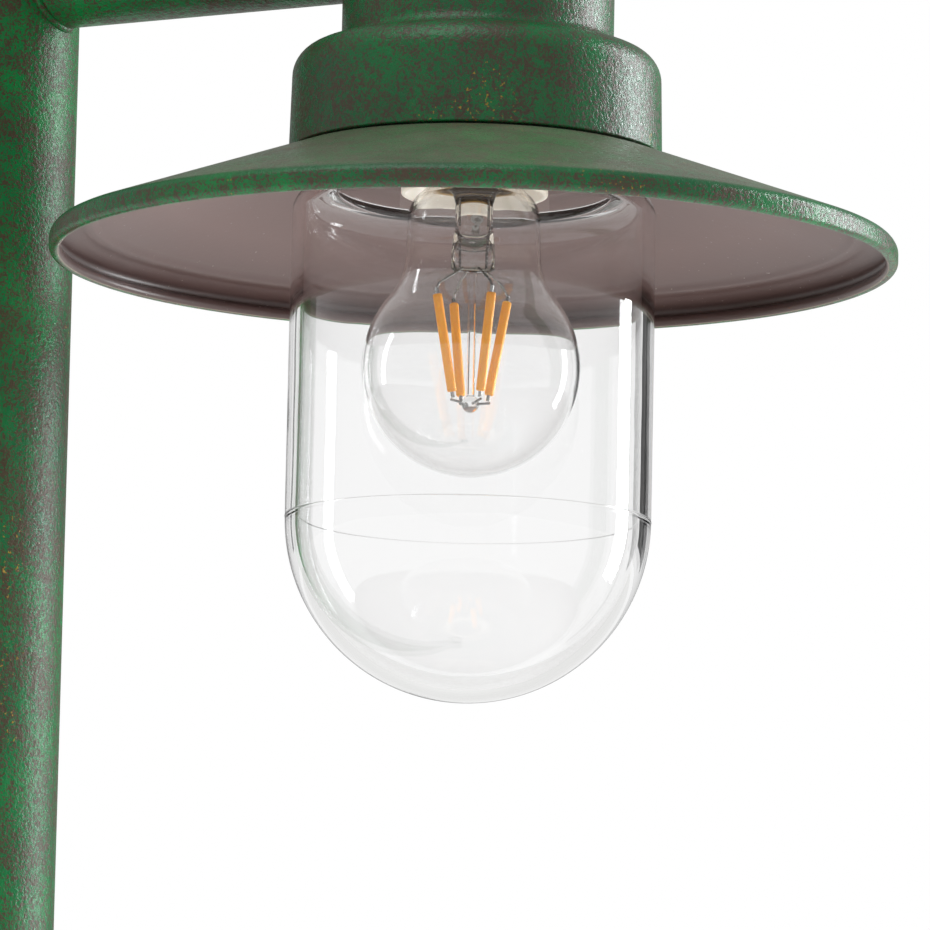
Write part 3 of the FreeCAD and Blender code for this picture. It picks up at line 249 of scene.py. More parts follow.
def weathered_paint(name, brown_share, dust_and_sheen=0.0, fold=0.0, flat=0.0, shine=0.55):
    """Green enamel over a brown primer, rubbed through in fine specks, with a leathery skin.

    A fold is the height of a sheet's bend, where the green stays whole in a band that is partly a
    painted highlight along the bend, and above which the paint is paled, partly by dust and partly
    by a painted sheen. Flat adds roughness, and shine is the strength of the reflections.
    """
    material, tree, shader = blank_material(name)
    where = object_coordinates(tree)
    clouds = noise_field(tree, where, 17.0, 3.0)
    drifts = noise_field(tree, where, 85.0, 3.0, 0.6, 0.3)
    mottle = noise_field(tree, where, 620.0, 5.0, 0.8, 0.3)
    specks = noise_field(tree, where, 1700.0, 2.0, 0.6)
    greens = blended(tree, graded(tree, drifts, 0.42, 0.6), colour("0a8540"), colour("17733d"))
    greens = blended(tree, graded(tree, clouds, 0.35, 0.65), greens, colour("15623a"))
    worn = combined(tree, "ADD", combined(tree, "MULTIPLY", mottle, 0.6),
                    combined(tree, "MULTIPLY", specks, 0.4))
    worn = combined(tree, "ADD", worn, graded(tree, clouds, 0.3, 0.7, -0.016, 0.016))
    worn = combined(tree, "ADD", worn, graded(tree, drifts, 0.3, 0.7, -0.035, 0.035))
    worn_through = 0.492 - 0.06 * (brown_share - 0.5)
    brown = graded(tree, worn, worn_through - 0.01, worn_through + 0.035, 0.0, 0.9)
    height = tree.nodes.new("ShaderNodeSeparateXYZ")
    tree.links.new(where, height.inputs["Vector"])
    # Round the fold the brown is held back, leaving a band of whole green: partly the paint's own,
    # partly a painted highlight along the bend.
    if fold:
        below = graded(tree, height.outputs["Z"], fold - 0.0014, fold - 0.0006, 1.0, 0.15)
        above = graded(tree, height.outputs["Z"], fold, fold + 0.0012, 0.0, 0.85)
        brown = combined(tree, "MULTIPLY", brown, combined(tree, "ADD", below, above))
    paint = blended(tree, brown, greens, colour("523a2f"))
    flecks = noise_field(tree, where, 900.0, 2.0, 0.5)
    spots = noise_field(tree, where, 31.0, 1.0)
    ochre = combined(tree, "MULTIPLY", graded(tree, flecks, 0.65, 0.7),
                     graded(tree, spots, 0.6, 0.66))
    paint = blended(tree, ochre, paint, colour("b08a2c"))
    # Above the fold the paint is paled towards grey: partly dust, partly a painted sheen that
    # stands in for the light the cone's top catches.
    if dust_and_sheen:
        dust = graded(tree, noise_field(tree, where, 60.0, 4.0), 0.3, 0.7, dust_and_sheen * 0.6, dust_and_sheen)
        top = graded(tree, height.outputs["Z"], fold, fold + 0.001)
        dust = combined(tree, "MULTIPLY", dust, top)
        paint = blended(tree, dust, paint, colour("9a9c86"))
    tree.links.new(paint, shader.inputs["Base Color"])
    gloss = combined(tree, "ADD", graded(tree, mottle, 0.3, 0.7, 0.24 + flat, 0.34 + flat),
                     combined(tree, "MULTIPLY", brown, 0.1))
    tree.links.new(gloss, shader.inputs["Roughness"])
    shader.inputs["Specular IOR Level"].default_value = shine
    skin = noise_field(tree, where, 900.0, 3.0, 0.55, 0.6)
    swell = noise_field(tree, where, 240.0, 2.0, 0.5)
    leather = combined(tree, "ADD", skin, combined(tree, "MULTIPLY", swell, 0.45))
    relief(tree, shader, leather, 0.38, 0.0007)
    return material


post_paint = weathered_paint("post_paint", 0.55, flat=0.04, shine=0.25)


def as_object(name, mesh, body, slot, *materials, sharp=32.0):
    """Turn a finished bmesh into a piece that rides on a body."""
    data = bpy.data.meshes.new(name)
    mesh.to_mesh(data)
    mesh.free()
    data.shade_smooth()
    data.set_sharp_from_angle(angle=math.radians(sharp))
    for material in materials:
        data.materials.append(material)
    piece = bpy.data.objects.new(name, data)
    bpy.context.collection.objects.link(piece)
    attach(piece, body)
    return piece


def dressed_copy(node, name, body, material, edge=0.0004, segments=2):
    """The CAD node's own shape with its edges eased and a real finish."""
    mesh = bmesh.new()
    mesh.from_mesh(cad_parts[node].data)
    bmesh.ops.remove_doubles(mesh, verts=mesh.verts, dist=1e-6)
    bmesh.ops.dissolve_limit(mesh, angle_limit=math.radians(0.5), verts=mesh.verts,
                             edges=mesh.edges)
    piece = as_object(name, mesh, body, node, material)
    if edge:
        eased = piece.modifiers.new("eased_edges", "BEVEL")
        eased.width = edge
        eased.segments = segments
        eased.limit_method = "ANGLE"
        eased.angle_limit = math.radians(40.0)
        eased.use_clamp_overlap = True
    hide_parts(node)
    return piece


dressed_copy("base_plate", "base_plate_finished", "post", post_paint, 0.0008)
dressed_copy("base_gussets", "gussets_finished", "post", post_paint, 0.0005)

# The cable grommet: a moulded black rubber bush, pushed into the plate's cable hole.


def aged_material(name, base, second, roughness, metallic=0.0, grain=300.0, depth=0.0001):
    """A plain finish with the small colour and gloss changes that handling leaves."""
    material, tree, shader = blank_material(name)
    where = object_coordinates(tree)
    broad = noise_field(tree, where, grain * 0.15, 4.0)
    fine = noise_field(tree, where, grain, 4.0)
    tint = blended(tree, graded(tree, broad, 0.35, 0.65), colour(base), colour(second))
    tree.links.new(tint, shader.inputs["Base Color"])
    gloss = graded(tree, fine, 0.3, 0.7, roughness * 0.8, min(roughness * 1.25, 1.0))
    tree.links.new(gloss, shader.inputs["Roughness"])
    shader.inputs["Metallic"].default_value = metallic
    relief(tree, shader, fine, 0.35, depth)
    return material


black_rubber = aged_material("black_rubber", "1c1c1c", "2a2928", 0.6)
dressed_copy("cable_grommet", "grommet_finished", "post", black_rubber)

# The base cover: spun steel, a bell that slides on the pole. It is painted with the post, and
# its collar carries a plated thumb screw.


def rounded_outline(mesh, corners, closed=True):
    """Corners of (radius, height) or (radius, height, rounding), joined up and rounded off."""
    verts = [mesh.verts.new((corner[0], 0.0, corner[1])) for corner in corners]
    for first, second in zip(verts, verts[1:]):
        mesh.edges.new((first, second))
    if closed:
        mesh.edges.new((verts[-1], verts[0]))
    for vert, corner in zip(verts, corners):
        if len(corner) > 2:
            bmesh.ops.bevel(mesh, geom=[vert], offset=corner[2], offset_type="OFFSET",
                            segments=6, profile=0.5, affect="VERTICES", material=-1)


def turned(name, corners, centre, steps=128, closed=True, drop=0.0):
    """A lathe-turned mesh about an upright axis through the centre."""
    mesh = bmesh.new()
    rounded_outline(mesh, corners, closed)
    bmesh.ops.spin(mesh, geom=mesh.verts[:] + mesh.edges[:], cent=(0, 0, 0), axis=(0, 0, 1),
                   angle=math.tau, steps=steps, use_merge=True)
    bmesh.ops.remove_doubles(mesh, verts=mesh.verts, dist=1e-6)
    bmesh.ops.recalc_face_normals(mesh, faces=mesh.faces)
    bmesh.ops.translate(mesh, verts=mesh.verts, vec=(centre[0], centre[1], drop))
    return mesh


def arc_points(centre, radius, first, last, count):
    """Points along an arc in the outline's plane; angles in degrees from outwards."""
    angles = [math.radians(first + (last - first) * step / count) for step in range(count + 1)]
    return [(centre[0] + radius * math.cos(a), centre[1] + radius * math.sin(a)) for a in angles]


pole_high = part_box("pole_tube")[1]
pole_radius = pole_high.x
pole_wall = 0.003
cover_low, cover_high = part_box("base_cover")
cover_radius = cover_high.x
cover_wall = 0.0025
shoulder = 0.010
flare = 0.060
collar_height = 0.014
collar = cover_radius - shoulder - flare
flare_top = cover_high.z - collar_height
skirt_top = flare_top - flare - shoulder
cover_bore = pole_radius + 0.0005
outer = arc_points((cover_radius - shoulder, skirt_top), shoulder, 0, 90, 8)
outer += arc_points((collar + flare, flare_top), flare, 270, 180, 20)
inner = arc_points((collar + flare, flare_top), flare + cover_wall, 180, 270, 20)
inner += arc_points((cover_radius - shoulder, skirt_top), shoulder - cover_wall, 90, 0, 8)
cover_profile = ([(cover_radius, cover_low.z, 0.0008)] + outer
                 + [(collar, cover_high.z, 0.0015), (cover_bore, cover_high.z, 0.0008),
                    (cover_bore, flare_top)]
                 + inner + [(cover_radius - cover_wall, cover_low.z, 0.0005)])
cover_mesh = turned("base_cover", cover_profile, (0.0, 0.0))
cover = as_object("base_cover_finished", cover_mesh, "base_cover", "base_cover", post_paint)
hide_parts("base_cover")

zinc = aged_material("zinc_plate", "8d8f8c", "6f7069", 0.34, 1.0, 500.0)
dressed_copy("base_cover_screw", "thumb_screw_finished", "base_cover", zinc, 0.0003)

# The pole: welded steel tube with a door opening cut low down on the side away from the arm.
# Its long barrel is painted like the rest; the cut edges are dressed before painting.
dressed_copy("pole_tube", "pole_finished", "post", post_paint, 0.0004)

# The pole cap: a cast plug with a low dome, dropped into the tube and pinned by one screw.
cap_low, cap_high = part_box("pole_cap")
cap_seat = pole_high.z
cap_rim = cap_high.x
cap_edge = cap_seat + 0.004
dome_rise = cap_high.z - cap_edge
dome_radius = (cap_rim ** 2 + dome_rise ** 2) / (2.0 * dome_rise)
spigot = pole_radius - pole_wall - 0.0002
dome_angle = math.degrees(math.asin(cap_rim / dome_radius))
dome = arc_points((0.0, cap_high.z - dome_radius), dome_radius, 90, 90 - dome_angle, 16)[:-1]
dome[0] = (0.0, cap_high.z)
cap_profile = dome + [(cap_rim, cap_edge, 0.0012), (cap_rim, cap_seat, 0.0008), (spigot, cap_seat),
                      (spigot, cap_low.z, 0.001), (spigot - 0.0035, cap_low.z),
                      (spigot - 0.0035, cap_edge), (0.0, cap_edge)]
cap = as_object("pole_cap_finished", turned("pole_cap", cap_profile, (0.0, 0.0), closed=False),
                "post", "pole_cap", post_paint)
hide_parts("pole_cap")
dressed_copy("pole_cap_screw", "cap_screw_finished", "post", zinc, 0.0003)

# The inspection door and its frame: two curved plates cut from tube, a rubber seal between
# them, and two captive stainless screws.
dressed_copy("door_frame", "door_frame_finished", "post", post_paint, 0.0003)
dressed_copy("inspection_door", "door_finished", "door", post_paint, 0.0004)
dressed_copy("door_gasket", "door_seal_finished", "door", black_rubber, 0.0)
stainless = aged_material("stainless", "a9aaa6", "8d8e8b", 0.28, 1.0, 600.0)
dressed_copy("door_screws", "door_screws_finished", "door", stainless, 0.0004)

# What the door gives onto: a plated rail on the pole's back wall, a moulded terminal block with
# brass screws, and a brass earth stud.
dressed_copy("terminal_rail", "rail_finished", "post", zinc, 0.0003)
phenolic = aged_material("phenolic", "26221f", "322c27", 0.45)
dressed_copy("terminal_block", "terminal_block_finished", "post", phenolic, 0.0006)
brass = aged_material("brass", "b08a45", "8a6a34", 0.32, 1.0, 500.0)
dressed_copy("terminal_screws", "terminal_screws_finished", "post", brass, 0.0003)
dressed_copy("earth_stud", "earth_stud_finished", "post", brass, 0.0003)

# The lamp lead: a round rubber-sheathed cable inside the pole and the arm.
cable_sheath = aged_material("cable_sheath", "171717", "242424", 0.5)
dressed_copy("lamp_lead", "lamp_lead_finished", "post", cable_sheath, 0.0)

# The side arm: a plain tube, saddle-cut to the pole and welded all round, painted over.
dressed_copy("arm_tube", "arm_finished", "post", post_paint, 0.0003)
arm_low, arm_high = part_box("arm_tube")
arm_radius = (arm_high.z - arm_low.z) / 2.0
arm_height = (arm_high.z + arm_low.z) / 2.0
weld_radius = 0.0011
weld_turns = 96
weld_ring = arm_radius + weld_radius * 0.2
weld_seat = pole_radius + weld_radius * 0.1
weld_path = []
for step in range(weld_turns):
    turn = math.tau * step / weld_turns
    across = weld_ring * math.sin(turn)
    out = math.sqrt(weld_seat ** 2 - across ** 2)
    weld_path.append(Vector((out, across, arm_height + weld_ring * math.cos(turn))))
weld_curve = bpy.data.curves.new("arm_weld_line", "CURVE")
weld_curve.dimensions = "3D"
weld_curve.bevel_depth = weld_radius
weld_curve.bevel_resolution = 4
weld_line = weld_curve.splines.new("POLY")
weld_line.points.add(weld_turns - 1)
for point, place in zip(weld_line.points, weld_path):
    point.co = (*place, 1.0)
weld_line.use_cyclic_u = True
weld_source = bpy.data.objects.new("arm_weld_line", weld_curve)
bpy.context.collection.objects.link(weld_source)
weld_mesh = bmesh.new()
weld_mesh.from_mesh(bpy.data.meshes.new_from_object(
    weld_source.evaluated_get(bpy.context.evaluated_depsgraph_get())))
bpy.data.objects.remove(weld_source)
bmesh.ops.recalc_face_normals(weld_mesh, faces=weld_mesh.faces)
as_object("arm_weld", weld_mesh, "post", "arm_tube", post_paint)

# The lantern casting: aluminium, one piece from the collar's lower edge to the domed top. The
# neck runs into the collar's round shoulder through a hollow fillet.
casting_low, casting_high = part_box("lantern_casting")
collar_radius = casting_high.y
collar_foot = casting_low.z
collar_top = collar_foot + 0.021
draft = 0.0005
shoulder_radius = 0.0085
shelf = collar_top + shoulder_radius
neck_radius = 0.0375
neck_fillet = 0.0045
neck_end = arm_height + 0.019
neck_cavity = neck_radius - 0.004
thread_bore = 0.0427
ledge = thread_bore - 0.0075
ledge_height = collar_foot + 0.0174
rise = casting_high.z - neck_end
crown = (neck_radius ** 2 + rise ** 2) / (2.0 * rise)
crown_angle = math.degrees(math.asin(neck_radius / crown))
crown_arc = arc_points((0.0, casting_high.z - crown), crown, 90, 90 - crown_angle, 16)[:-1]
crown_arc[0] = (0.0, casting_high.z)
upper_radius = collar_radius - draft
casting_profile = (
    crown_arc + [(neck_radius, neck_end, 0.004)]
    + arc_points((neck_radius + neck_fillet, shelf + neck_fillet), neck_fillet, 180, 270, 8)
    + arc_points((upper_radius - shoulder_radius, collar_top), shoulder_radius, 90, 0, 12)
    + [(collar_radius, collar_foot, 0.0006), (thread_bore, collar_foot, 0.0006),
       (thread_bore, ledge_height), (ledge, ledge_height, 0.001), (neck_cavity, shelf, 0.002),
       (neck_cavity, neck_end - 0.006, 0.005), (0.0, neck_end - 0.001)])
casting_paint = weathered_paint("casting_paint", 0.42)
casting_mesh = turned("lantern_casting", casting_profile, lantern, 160, False)
casting = as_object("lantern_casting_finished", casting_mesh, "post", "lantern_casting",
                    casting_paint)
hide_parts("lantern_casting")
dressed_copy("arm_grub_screws", "arm_grubs_finished", "post", zinc, 0.0)

# The shade: spun aluminium, a shallow cone with an upright edge rolled in at the rim. Outside
# it is painted with the post; inside it is sprayed a smooth mauve brown round to the roll's
# underside, where the masking left a fine pale line.
shade_radius = (shade_high.y - shade_low.y) / 2.0
sheet = 0.0012
skirt = 0.006
roll = 0.0017
flange_radius = collar_radius - 0.00015
flange_bore = 0.0432
slope = (shade_high.z - shade_low.z - skirt) / (shade_radius - flange_radius)
edge_drop = sheet * math.sqrt(1.0 + slope ** 2)
under_flange = flange_radius - sheet * (math.sqrt(1.0 + slope ** 2) - 1.0) / slope
rim = shade_low.z
inside_edge = shade_radius - sheet
inside_top = rim + skirt + sheet * slope - edge_drop
bead_out = shade_radius - 0.011
bead_height = rim + skirt + (shade_radius - bead_out) * slope - edge_drop
masking_radius = shade_radius - roll * 1.5
masking_half_width = 0.00014
shade_profile = (
    [(shade_radius, rim + skirt, 0.0022), (flange_radius, shade_high.z, 0.0008),
     (flange_bore, shade_high.z), (flange_bore, shade_high.z - sheet),
     (under_flange, shade_high.z - sheet, 0.0006),
     (bead_out - 0.003, bead_height + 0.003 * slope, 0.001),
     (bead_out - 0.001, bead_height - 0.0005, 0.0006),
     (bead_out + 0.001, bead_height - 0.0009, 0.0006),
     (bead_out + 0.003, bead_height - 0.003 * slope, 0.001),
     (inside_edge, inside_top, 0.0012), (inside_edge, rim + 2.0 * roll, 0.0003)]
    + arc_points((shade_radius - roll, rim + roll), roll, 90, 360, 40))
shade_mesh = turned("shade", shade_profile, lantern, 224)
for face in shade_mesh.faces:
    middle = face.calc_center_median()
    spoke = Vector((middle.x - lantern.x, middle.y - lantern.y, 0.0))
    facing_in = face.normal.dot(spoke) < 0.0
    beyond_line = spoke.length - masking_radius
    beyond_roll = spoke.length - (shade_radius - roll)
    if middle.z < rim + roll and abs(beyond_line) < masking_half_width:
        face.material_index = 2
    elif middle.z < rim + roll and beyond_line > 0.0:
        face.material_index = 0
    elif facing_in or (face.normal.z < -0.05 and beyond_roll < 0.0):
        face.material_index = 1


def sprayed_lining(name):
    """Smooth mauve-brown enamel with painted shade that darkens it towards the rim, and a little
    dust caught in it.
    """
    material, tree, shader = blank_material(name)
    where = object_coordinates(tree)
    drift = noise_field(tree, where, 14.0, 3.0)
    dust = noise_field(tree, where, 900.0, 1.0, 0.4)
    coat = blended(tree, graded(tree, drift, 0.3, 0.7), colour("7a5e59"), colour("826661"))
    spoke = tree.nodes.new("ShaderNodeVectorMath")
    spoke.operation = "DISTANCE"
    spoke.inputs[1].default_value = (lantern.x, lantern.y, rim + skirt)
    tree.links.new(where, spoke.inputs[0])
    # Painted shade: the lining darkens towards the rim, where less light reaches under the shade.
    edge = graded(tree, spoke.outputs["Value"], 0.085, shade_radius, 0.0, 0.75)
    coat = blended(tree, edge, coat, colour("4d3c3a"))
    coat = blended(tree, graded(tree, dust, 0.76, 0.79), coat, colour("a3968f"))
    tree.links.new(coat, shader.inputs["Base Color"])
    tree.links.new(graded(tree, drift, 0.3, 0.7, 0.3, 0.4), shader.inputs["Roughness"])
    relief(tree, shader, noise_field(tree, where, 520.0, 2.0), 0.12, 0.0002)
    return material


# The shade's cone is paled above its bend, partly by dust and partly by a painted sheen, and the
# bend keeps a whole-green band that is partly a painted highlight.
shade_paint = weathered_paint("shade_paint", 0.45, 0.45, rim + skirt)
masking_line = aged_material("masking_line", "9a8f7e", "85776a", 0.45, 0.0, 400.0)
shade_piece = as_object("shade_finished", shade_mesh, "post", "shade", shade_paint,
                        sprayed_lining("shade_lining"), masking_line)
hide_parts("shade")
dressed_copy("shade_gasket", "shade_seal_finished", "post", black_rubber, 0.0)
dressed_copy("shade_screws", "shade_screws_finished", "post", zinc, 0.0003)

# The well glass: a thick blown and moulded jar, closed by a hemisphere, with a short threaded
# neck that screws up into the casting against a rubber seal. The mould leaves a fine ring.


def clear_glass(name, tint, ripple, ripple_scale, bending=1.5):
    """Clear glass with the slow waves of blown ware. It casts no shadow of its own."""
    material, tree, shader = blank_material(name)
    where = object_coordinates(tree)
    shader.inputs["Base Color"].default_value = (*tint, 1.0)
    shader.inputs["Transmission Weight"].default_value = 1.0
    shader.inputs["IOR"].default_value = bending
    smears = noise_field(tree, where, 55.0, 4.0)
    tree.links.new(graded(tree, smears, 0.45, 0.75, 0.0, 0.012), shader.inputs["Roughness"])
    relief(tree, shader, noise_field(tree, where, ripple_scale, 2.0, 0.5), ripple, 0.001)
    ray_kind = tree.nodes.new("ShaderNodeLightPath")
    unshaded = tree.nodes.new("ShaderNodeBsdfTransparent")
    either = tree.nodes.new("ShaderNodeMixShader")
    tree.links.new(ray_kind.outputs["Is Shadow Ray"], either.inputs["Fac"])
    tree.links.new(shader.outputs["BSDF"], either.inputs[1])
    tree.links.new(unshaded.outputs["BSDF"], either.inputs[2])
    tree.links.new(either.outputs["Shader"], tree.nodes["Material Output"].inputs["Surface"])
    return material


glass_low, glass_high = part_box("well_glass")
glass_radius = (glass_high.y - glass_low.y) / 2.0
glass_wall = 0.0035
dome_base = glass_low.z + glass_radius
glass_shoulder = 0.008
glass_top = rim + 0.021
shoulder_foot = glass_top - glass_shoulder
thread_crest = 0.04225
thread_root = thread_crest - 0.00105
thread_pitch = 0.005
neck_bore = thread_root - glass_wall
bore = glass_radius - glass_wall
inner_bend = glass_shoulder - glass_wall
seam = 0.00012
seam_height = 0.00009
outside = arc_points((0.0, dome_base), glass_radius, -90, -1, 40)
outside[0] = (0.0, glass_low.z)
outside += [(glass_radius, dome_base - seam * 4.0), (glass_radius, dome_base - seam),
            (glass_radius + seam_height, dome_base), (glass_radius, dome_base + seam),
            (glass_radius, dome_base + seam * 4.0)]
outside += [(glass_radius, dome_base + (shoulder_foot - dome_base) * share)
            for share in (0.25, 0.5, 0.75)]
outside += arc_points((glass_radius - glass_shoulder, shoulder_foot), glass_shoulder, 0, 84, 12)
outside += [(thread_root + 0.0002, glass_top, 0.0006)]
thread_half_root = 0.0013
thread_half_crest = 0.0006
for wind in range(2):
    middle = collar_foot + thread_pitch * (0.5 + wind)
    outside += [(thread_root, middle - thread_half_root, 0.0004),
                (thread_crest, middle - thread_half_crest, 0.0004),
                (thread_crest, middle + thread_half_crest, 0.0004),
                (thread_root, middle + thread_half_root, 0.0004)]
inside = [(thread_root, glass_high.z, 0.001), (neck_bore, glass_high.z, 0.001),
          (neck_bore, glass_top - glass_wall + 0.001, 0.0012)]
inside += arc_points((bore - inner_bend, shoulder_foot), inner_bend, 84, 0, 10)
inside += [(bore, dome_base + (shoulder_foot - dome_base) * share) for share in (0.75, 0.5, 0.25)]
inside += arc_points((0.0, dome_base), bore, 0, -90, 40)[:-1] + [(0.0, dome_base - bore)]
glass_mesh = turned("well_glass", outside + inside, lantern, 192, False)
jar_glass = clear_glass("jar_glass", (1.0, 1.0, 1.0), 0.12, 24.0)
jar = as_object("well_glass_finished", glass_mesh, "glass", "well_glass", jar_glass, sharp=60.0)
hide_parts("well_glass")
dressed_copy("glass_gasket", "glass_seal_finished", "post", black_rubber, 0.0)

# The lampholder: a cream moulded skirt over a brass screw shell, hung on a threaded nipple from
# a plated strap across the casting.
holder_low, holder_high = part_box("lampholder_body")
holder_radius = (holder_high.y - holder_low.y) / 2.0
holder_bore = 0.0152
mouth = holder_radius - 0.0014
throat_top = holder_low.z + 0.009
web_top = holder_high.z - 0.006
web_foot = web_top - 0.0025
skirt_line = holder_low.z + 0.012
upper_holder = holder_radius - 0.0006
nipple_bore = 0.005
lead_hole = 0.0015
holder_profile = [
    (mouth, holder_low.z, 0.0005), (holder_radius, holder_low.z, 0.0006),
    (holder_radius, skirt_line, 0.0006), (upper_holder, holder_low.z + 0.0126),
    (upper_holder, holder_high.z, 0.0042), (nipple_bore, holder_high.z),
    (nipple_bore, web_top), (lead_hole, web_top), (lead_hole, web_foot),
    (holder_bore, web_foot), (holder_bore, throat_top, 0.001)]


def moulded_cream(name):
    """Cream thermoset, aged unevenly, with a weak painted glow that stands in for light, so that
    it reads through the glass.
    """
    material, tree, shader = blank_material(name)
    where = object_coordinates(tree)
    age = noise_field(tree, where, 45.0, 4.0)
    grain = noise_field(tree, where, 900.0, 2.0)
    tint = blended(tree, graded(tree, age, 0.35, 0.7), colour("e4ddcf"), colour("d6cbb6"))
    tree.links.new(tint, shader.inputs["Base Color"])
    tree.links.new(graded(tree, grain, 0.3, 0.7, 0.3, 0.4), shader.inputs["Roughness"])
    # Painted light: the moulding glows a little, though it is no lamp, in place of the light that
    # reaches it.
    shader.inputs["Emission Color"].default_value = (*colour("f2e9da"), 1.0)
    shader.inputs["Emission Strength"].default_value = 0.4
    relief(tree, shader, grain, 0.15, 0.0001)
    return material


holder = as_object("lampholder_finished", turned("lampholder", holder_profile, lantern, 128),
                   "post", "lampholder_body", moulded_cream("cream_moulding"))
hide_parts("lampholder_body")
dressed_copy("screw_shell", "screw_shell_finished", "post", brass, 0.0)
dressed_copy("centre_contact", "centre_contact_finished", "post", brass, 0.0)
dressed_copy("holder_bracket", "bracket_finished", "post", zinc, 0.0003)
dressed_copy("bracket_screws", "bracket_screws_finished", "post", zinc, 0.0003)
dressed_copy("holder_nipple", "nipple_finished", "post", brass, 0.0002)
dressed_copy("holder_nut", "nut_finished", "post", brass, 0.0003)

# The bulb's envelope: thin blown glass, a globe that flows into a neck cemented in the cap.
globe_low, globe_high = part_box("bulb_envelope")
globe_radius = (globe_high.y - globe_low.y) / 2.0
bulb_wall = 0.0008
globe_centre = globe_low.z + globe_radius
bulb_neck = 0.0185
waist = 0.020
throat = 0.018
reach = globe_radius + waist
lean = math.degrees(math.acos((bulb_neck + waist) / reach))
lift = reach * math.sin(math.radians(lean))
waist_centre = (bulb_neck + waist, globe_centre + lift)
cap_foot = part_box("bulb_cap")[0].z
throat_height = cap_foot - 0.0062
stub = 0.0117
bulb_outside = arc_points((0.0, globe_centre), globe_radius, -90, lean, 48)
bulb_outside[0] = (0.0, globe_low.z)
bulb_outside += arc_points(waist_centre, waist, 180 + lean, 180, 12)[1:]
bulb_outside += [(throat, throat_height, 0.003), (stub, cap_foot, 0.001), (stub, globe_high.z)]
bulb_inside = [(stub - bulb_wall, globe_high.z), (stub - bulb_wall, cap_foot - bulb_wall, 0.001),
               (throat - bulb_wall, throat_height - bulb_wall, 0.003)]
bulb_inside += arc_points(waist_centre, waist + bulb_wall, 180, 180 + lean, 12)[:-1]
bulb_inside += arc_points((0.0, globe_centre), globe_radius - bulb_wall, lean, -90, 48)[:-1]
bulb_inside += [(0.0, globe_low.z + bulb_wall)]
globe_mesh = turned("bulb_globe", bulb_outside + bulb_inside, lantern, 160, False)
bulb_glass = clear_glass("bulb_glass", (0.995, 0.995, 0.995), 0.04, 40.0)
globe = as_object("bulb_envelope_finished", globe_mesh, "bulb", "bulb_envelope", bulb_glass,
                  sharp=60.0)
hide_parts("bulb_envelope")

# The bulb's cap: thin brass rolled with the screw thread, a black insulator, a soldered tip, and
# the small driver board inside.
dressed_copy("bulb_cap", "bulb_cap_finished", "bulb", brass, 0.0003)
dressed_copy("bulb_cap_insulator", "cap_insulator_finished", "bulb", phenolic, 0.0)
solder = aged_material("solder", "b4b3ae", "96948f", 0.35, 1.0, 700.0)
dressed_copy("bulb_tip_contact", "tip_contact_finished", "bulb", solder, 0.0003)
board = aged_material("driver_board", "1f4d33", "27593c", 0.5)
dressed_copy("bulb_driver", "driver_finished", "bulb", board, 0.0002)

# The stem: a glass tube flared into the neck, its end pinched flat while soft round the two
# lead-in wires. Its tube is thin, and bends light less than the solid pinch does.
stem_low, stem_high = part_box("bulb_stem")
stem_radius = 0.0052
pinch_length = 0.0095
pinch_half = 0.006
pinch_depth = 0.002
bulb_turn = math.radians(29.0)
pinch_end = stem_low.z + pinch_length
flare_radius = 0.010
flare_wall = 0.0008
flare_start = stem_radius * 1.2
stem_bore = stem_radius - 0.0007
stem_rings = 24
stem_mesh = bmesh.new()
sections = [(stem_low.z, pinch_half * 0.82, pinch_depth * 0.55),
            (stem_low.z + 0.0008, pinch_half, pinch_depth * 0.85),
            (stem_low.z + pinch_length * 0.5, pinch_half, pinch_depth),
            (stem_low.z + pinch_length * 0.85, pinch_half * 0.97, pinch_depth * 1.3),
            (pinch_end + 0.003, stem_radius, stem_radius),
            (stem_high.z - 0.006, stem_radius, stem_radius),
            (stem_high.z - 0.003, flare_start, flare_start),
            (stem_high.z, flare_radius, flare_radius),
            (stem_high.z, flare_radius - flare_wall, flare_radius - flare_wall),
            (stem_high.z - 0.004, flare_start - flare_wall, flare_start - flare_wall),
            (stem_high.z - 0.007, stem_bore, stem_bore),
            (pinch_end + 0.0035, stem_bore, stem_bore),
            (pinch_end + 0.0005, stem_bore * 0.8, stem_bore * 0.4)]
loops = []
for height, wide, deep in sections:
    made = bmesh.ops.create_circle(stem_mesh, cap_ends=False, radius=1.0, segments=stem_rings)
    ring = made["verts"]
    bmesh.ops.scale(stem_mesh, verts=ring, vec=(wide, deep, 1.0))
    bmesh.ops.translate(stem_mesh, verts=ring, vec=(0.0, 0.0, height))
    loops.append([edge for edge in stem_mesh.edges if all(v in ring for v in edge.verts)])
for lower, upper in zip(loops, loops[1:]):
    bmesh.ops.bridge_loops(stem_mesh, edges=lower + upper)
bmesh.ops.contextual_create(stem_mesh, geom=loops[0])
bmesh.ops.contextual_create(stem_mesh, geom=loops[-1])
bmesh.ops.recalc_face_normals(stem_mesh, faces=stem_mesh.faces)
bmesh.ops.rotate(stem_mesh, verts=stem_mesh.verts, cent=(0, 0, 0),
                 matrix=Matrix.Rotation(bulb_turn, 3, "Z"))
bmesh.ops.translate(stem_mesh, verts=stem_mesh.verts, vec=(lantern.x, lantern.y, 0.0))
for face in stem_mesh.faces:
    if face.calc_center_median().z > pinch_end + 0.001:
        face.material_index = 1
stem = as_object("bulb_stem_finished", stem_mesh, "bulb", "bulb_stem", bulb_glass,
                 clear_glass("thin_glass", (1.0, 1.0, 1.0), 0.02, 90.0, 1.08), sharp=70.0)
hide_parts("bulb_stem")

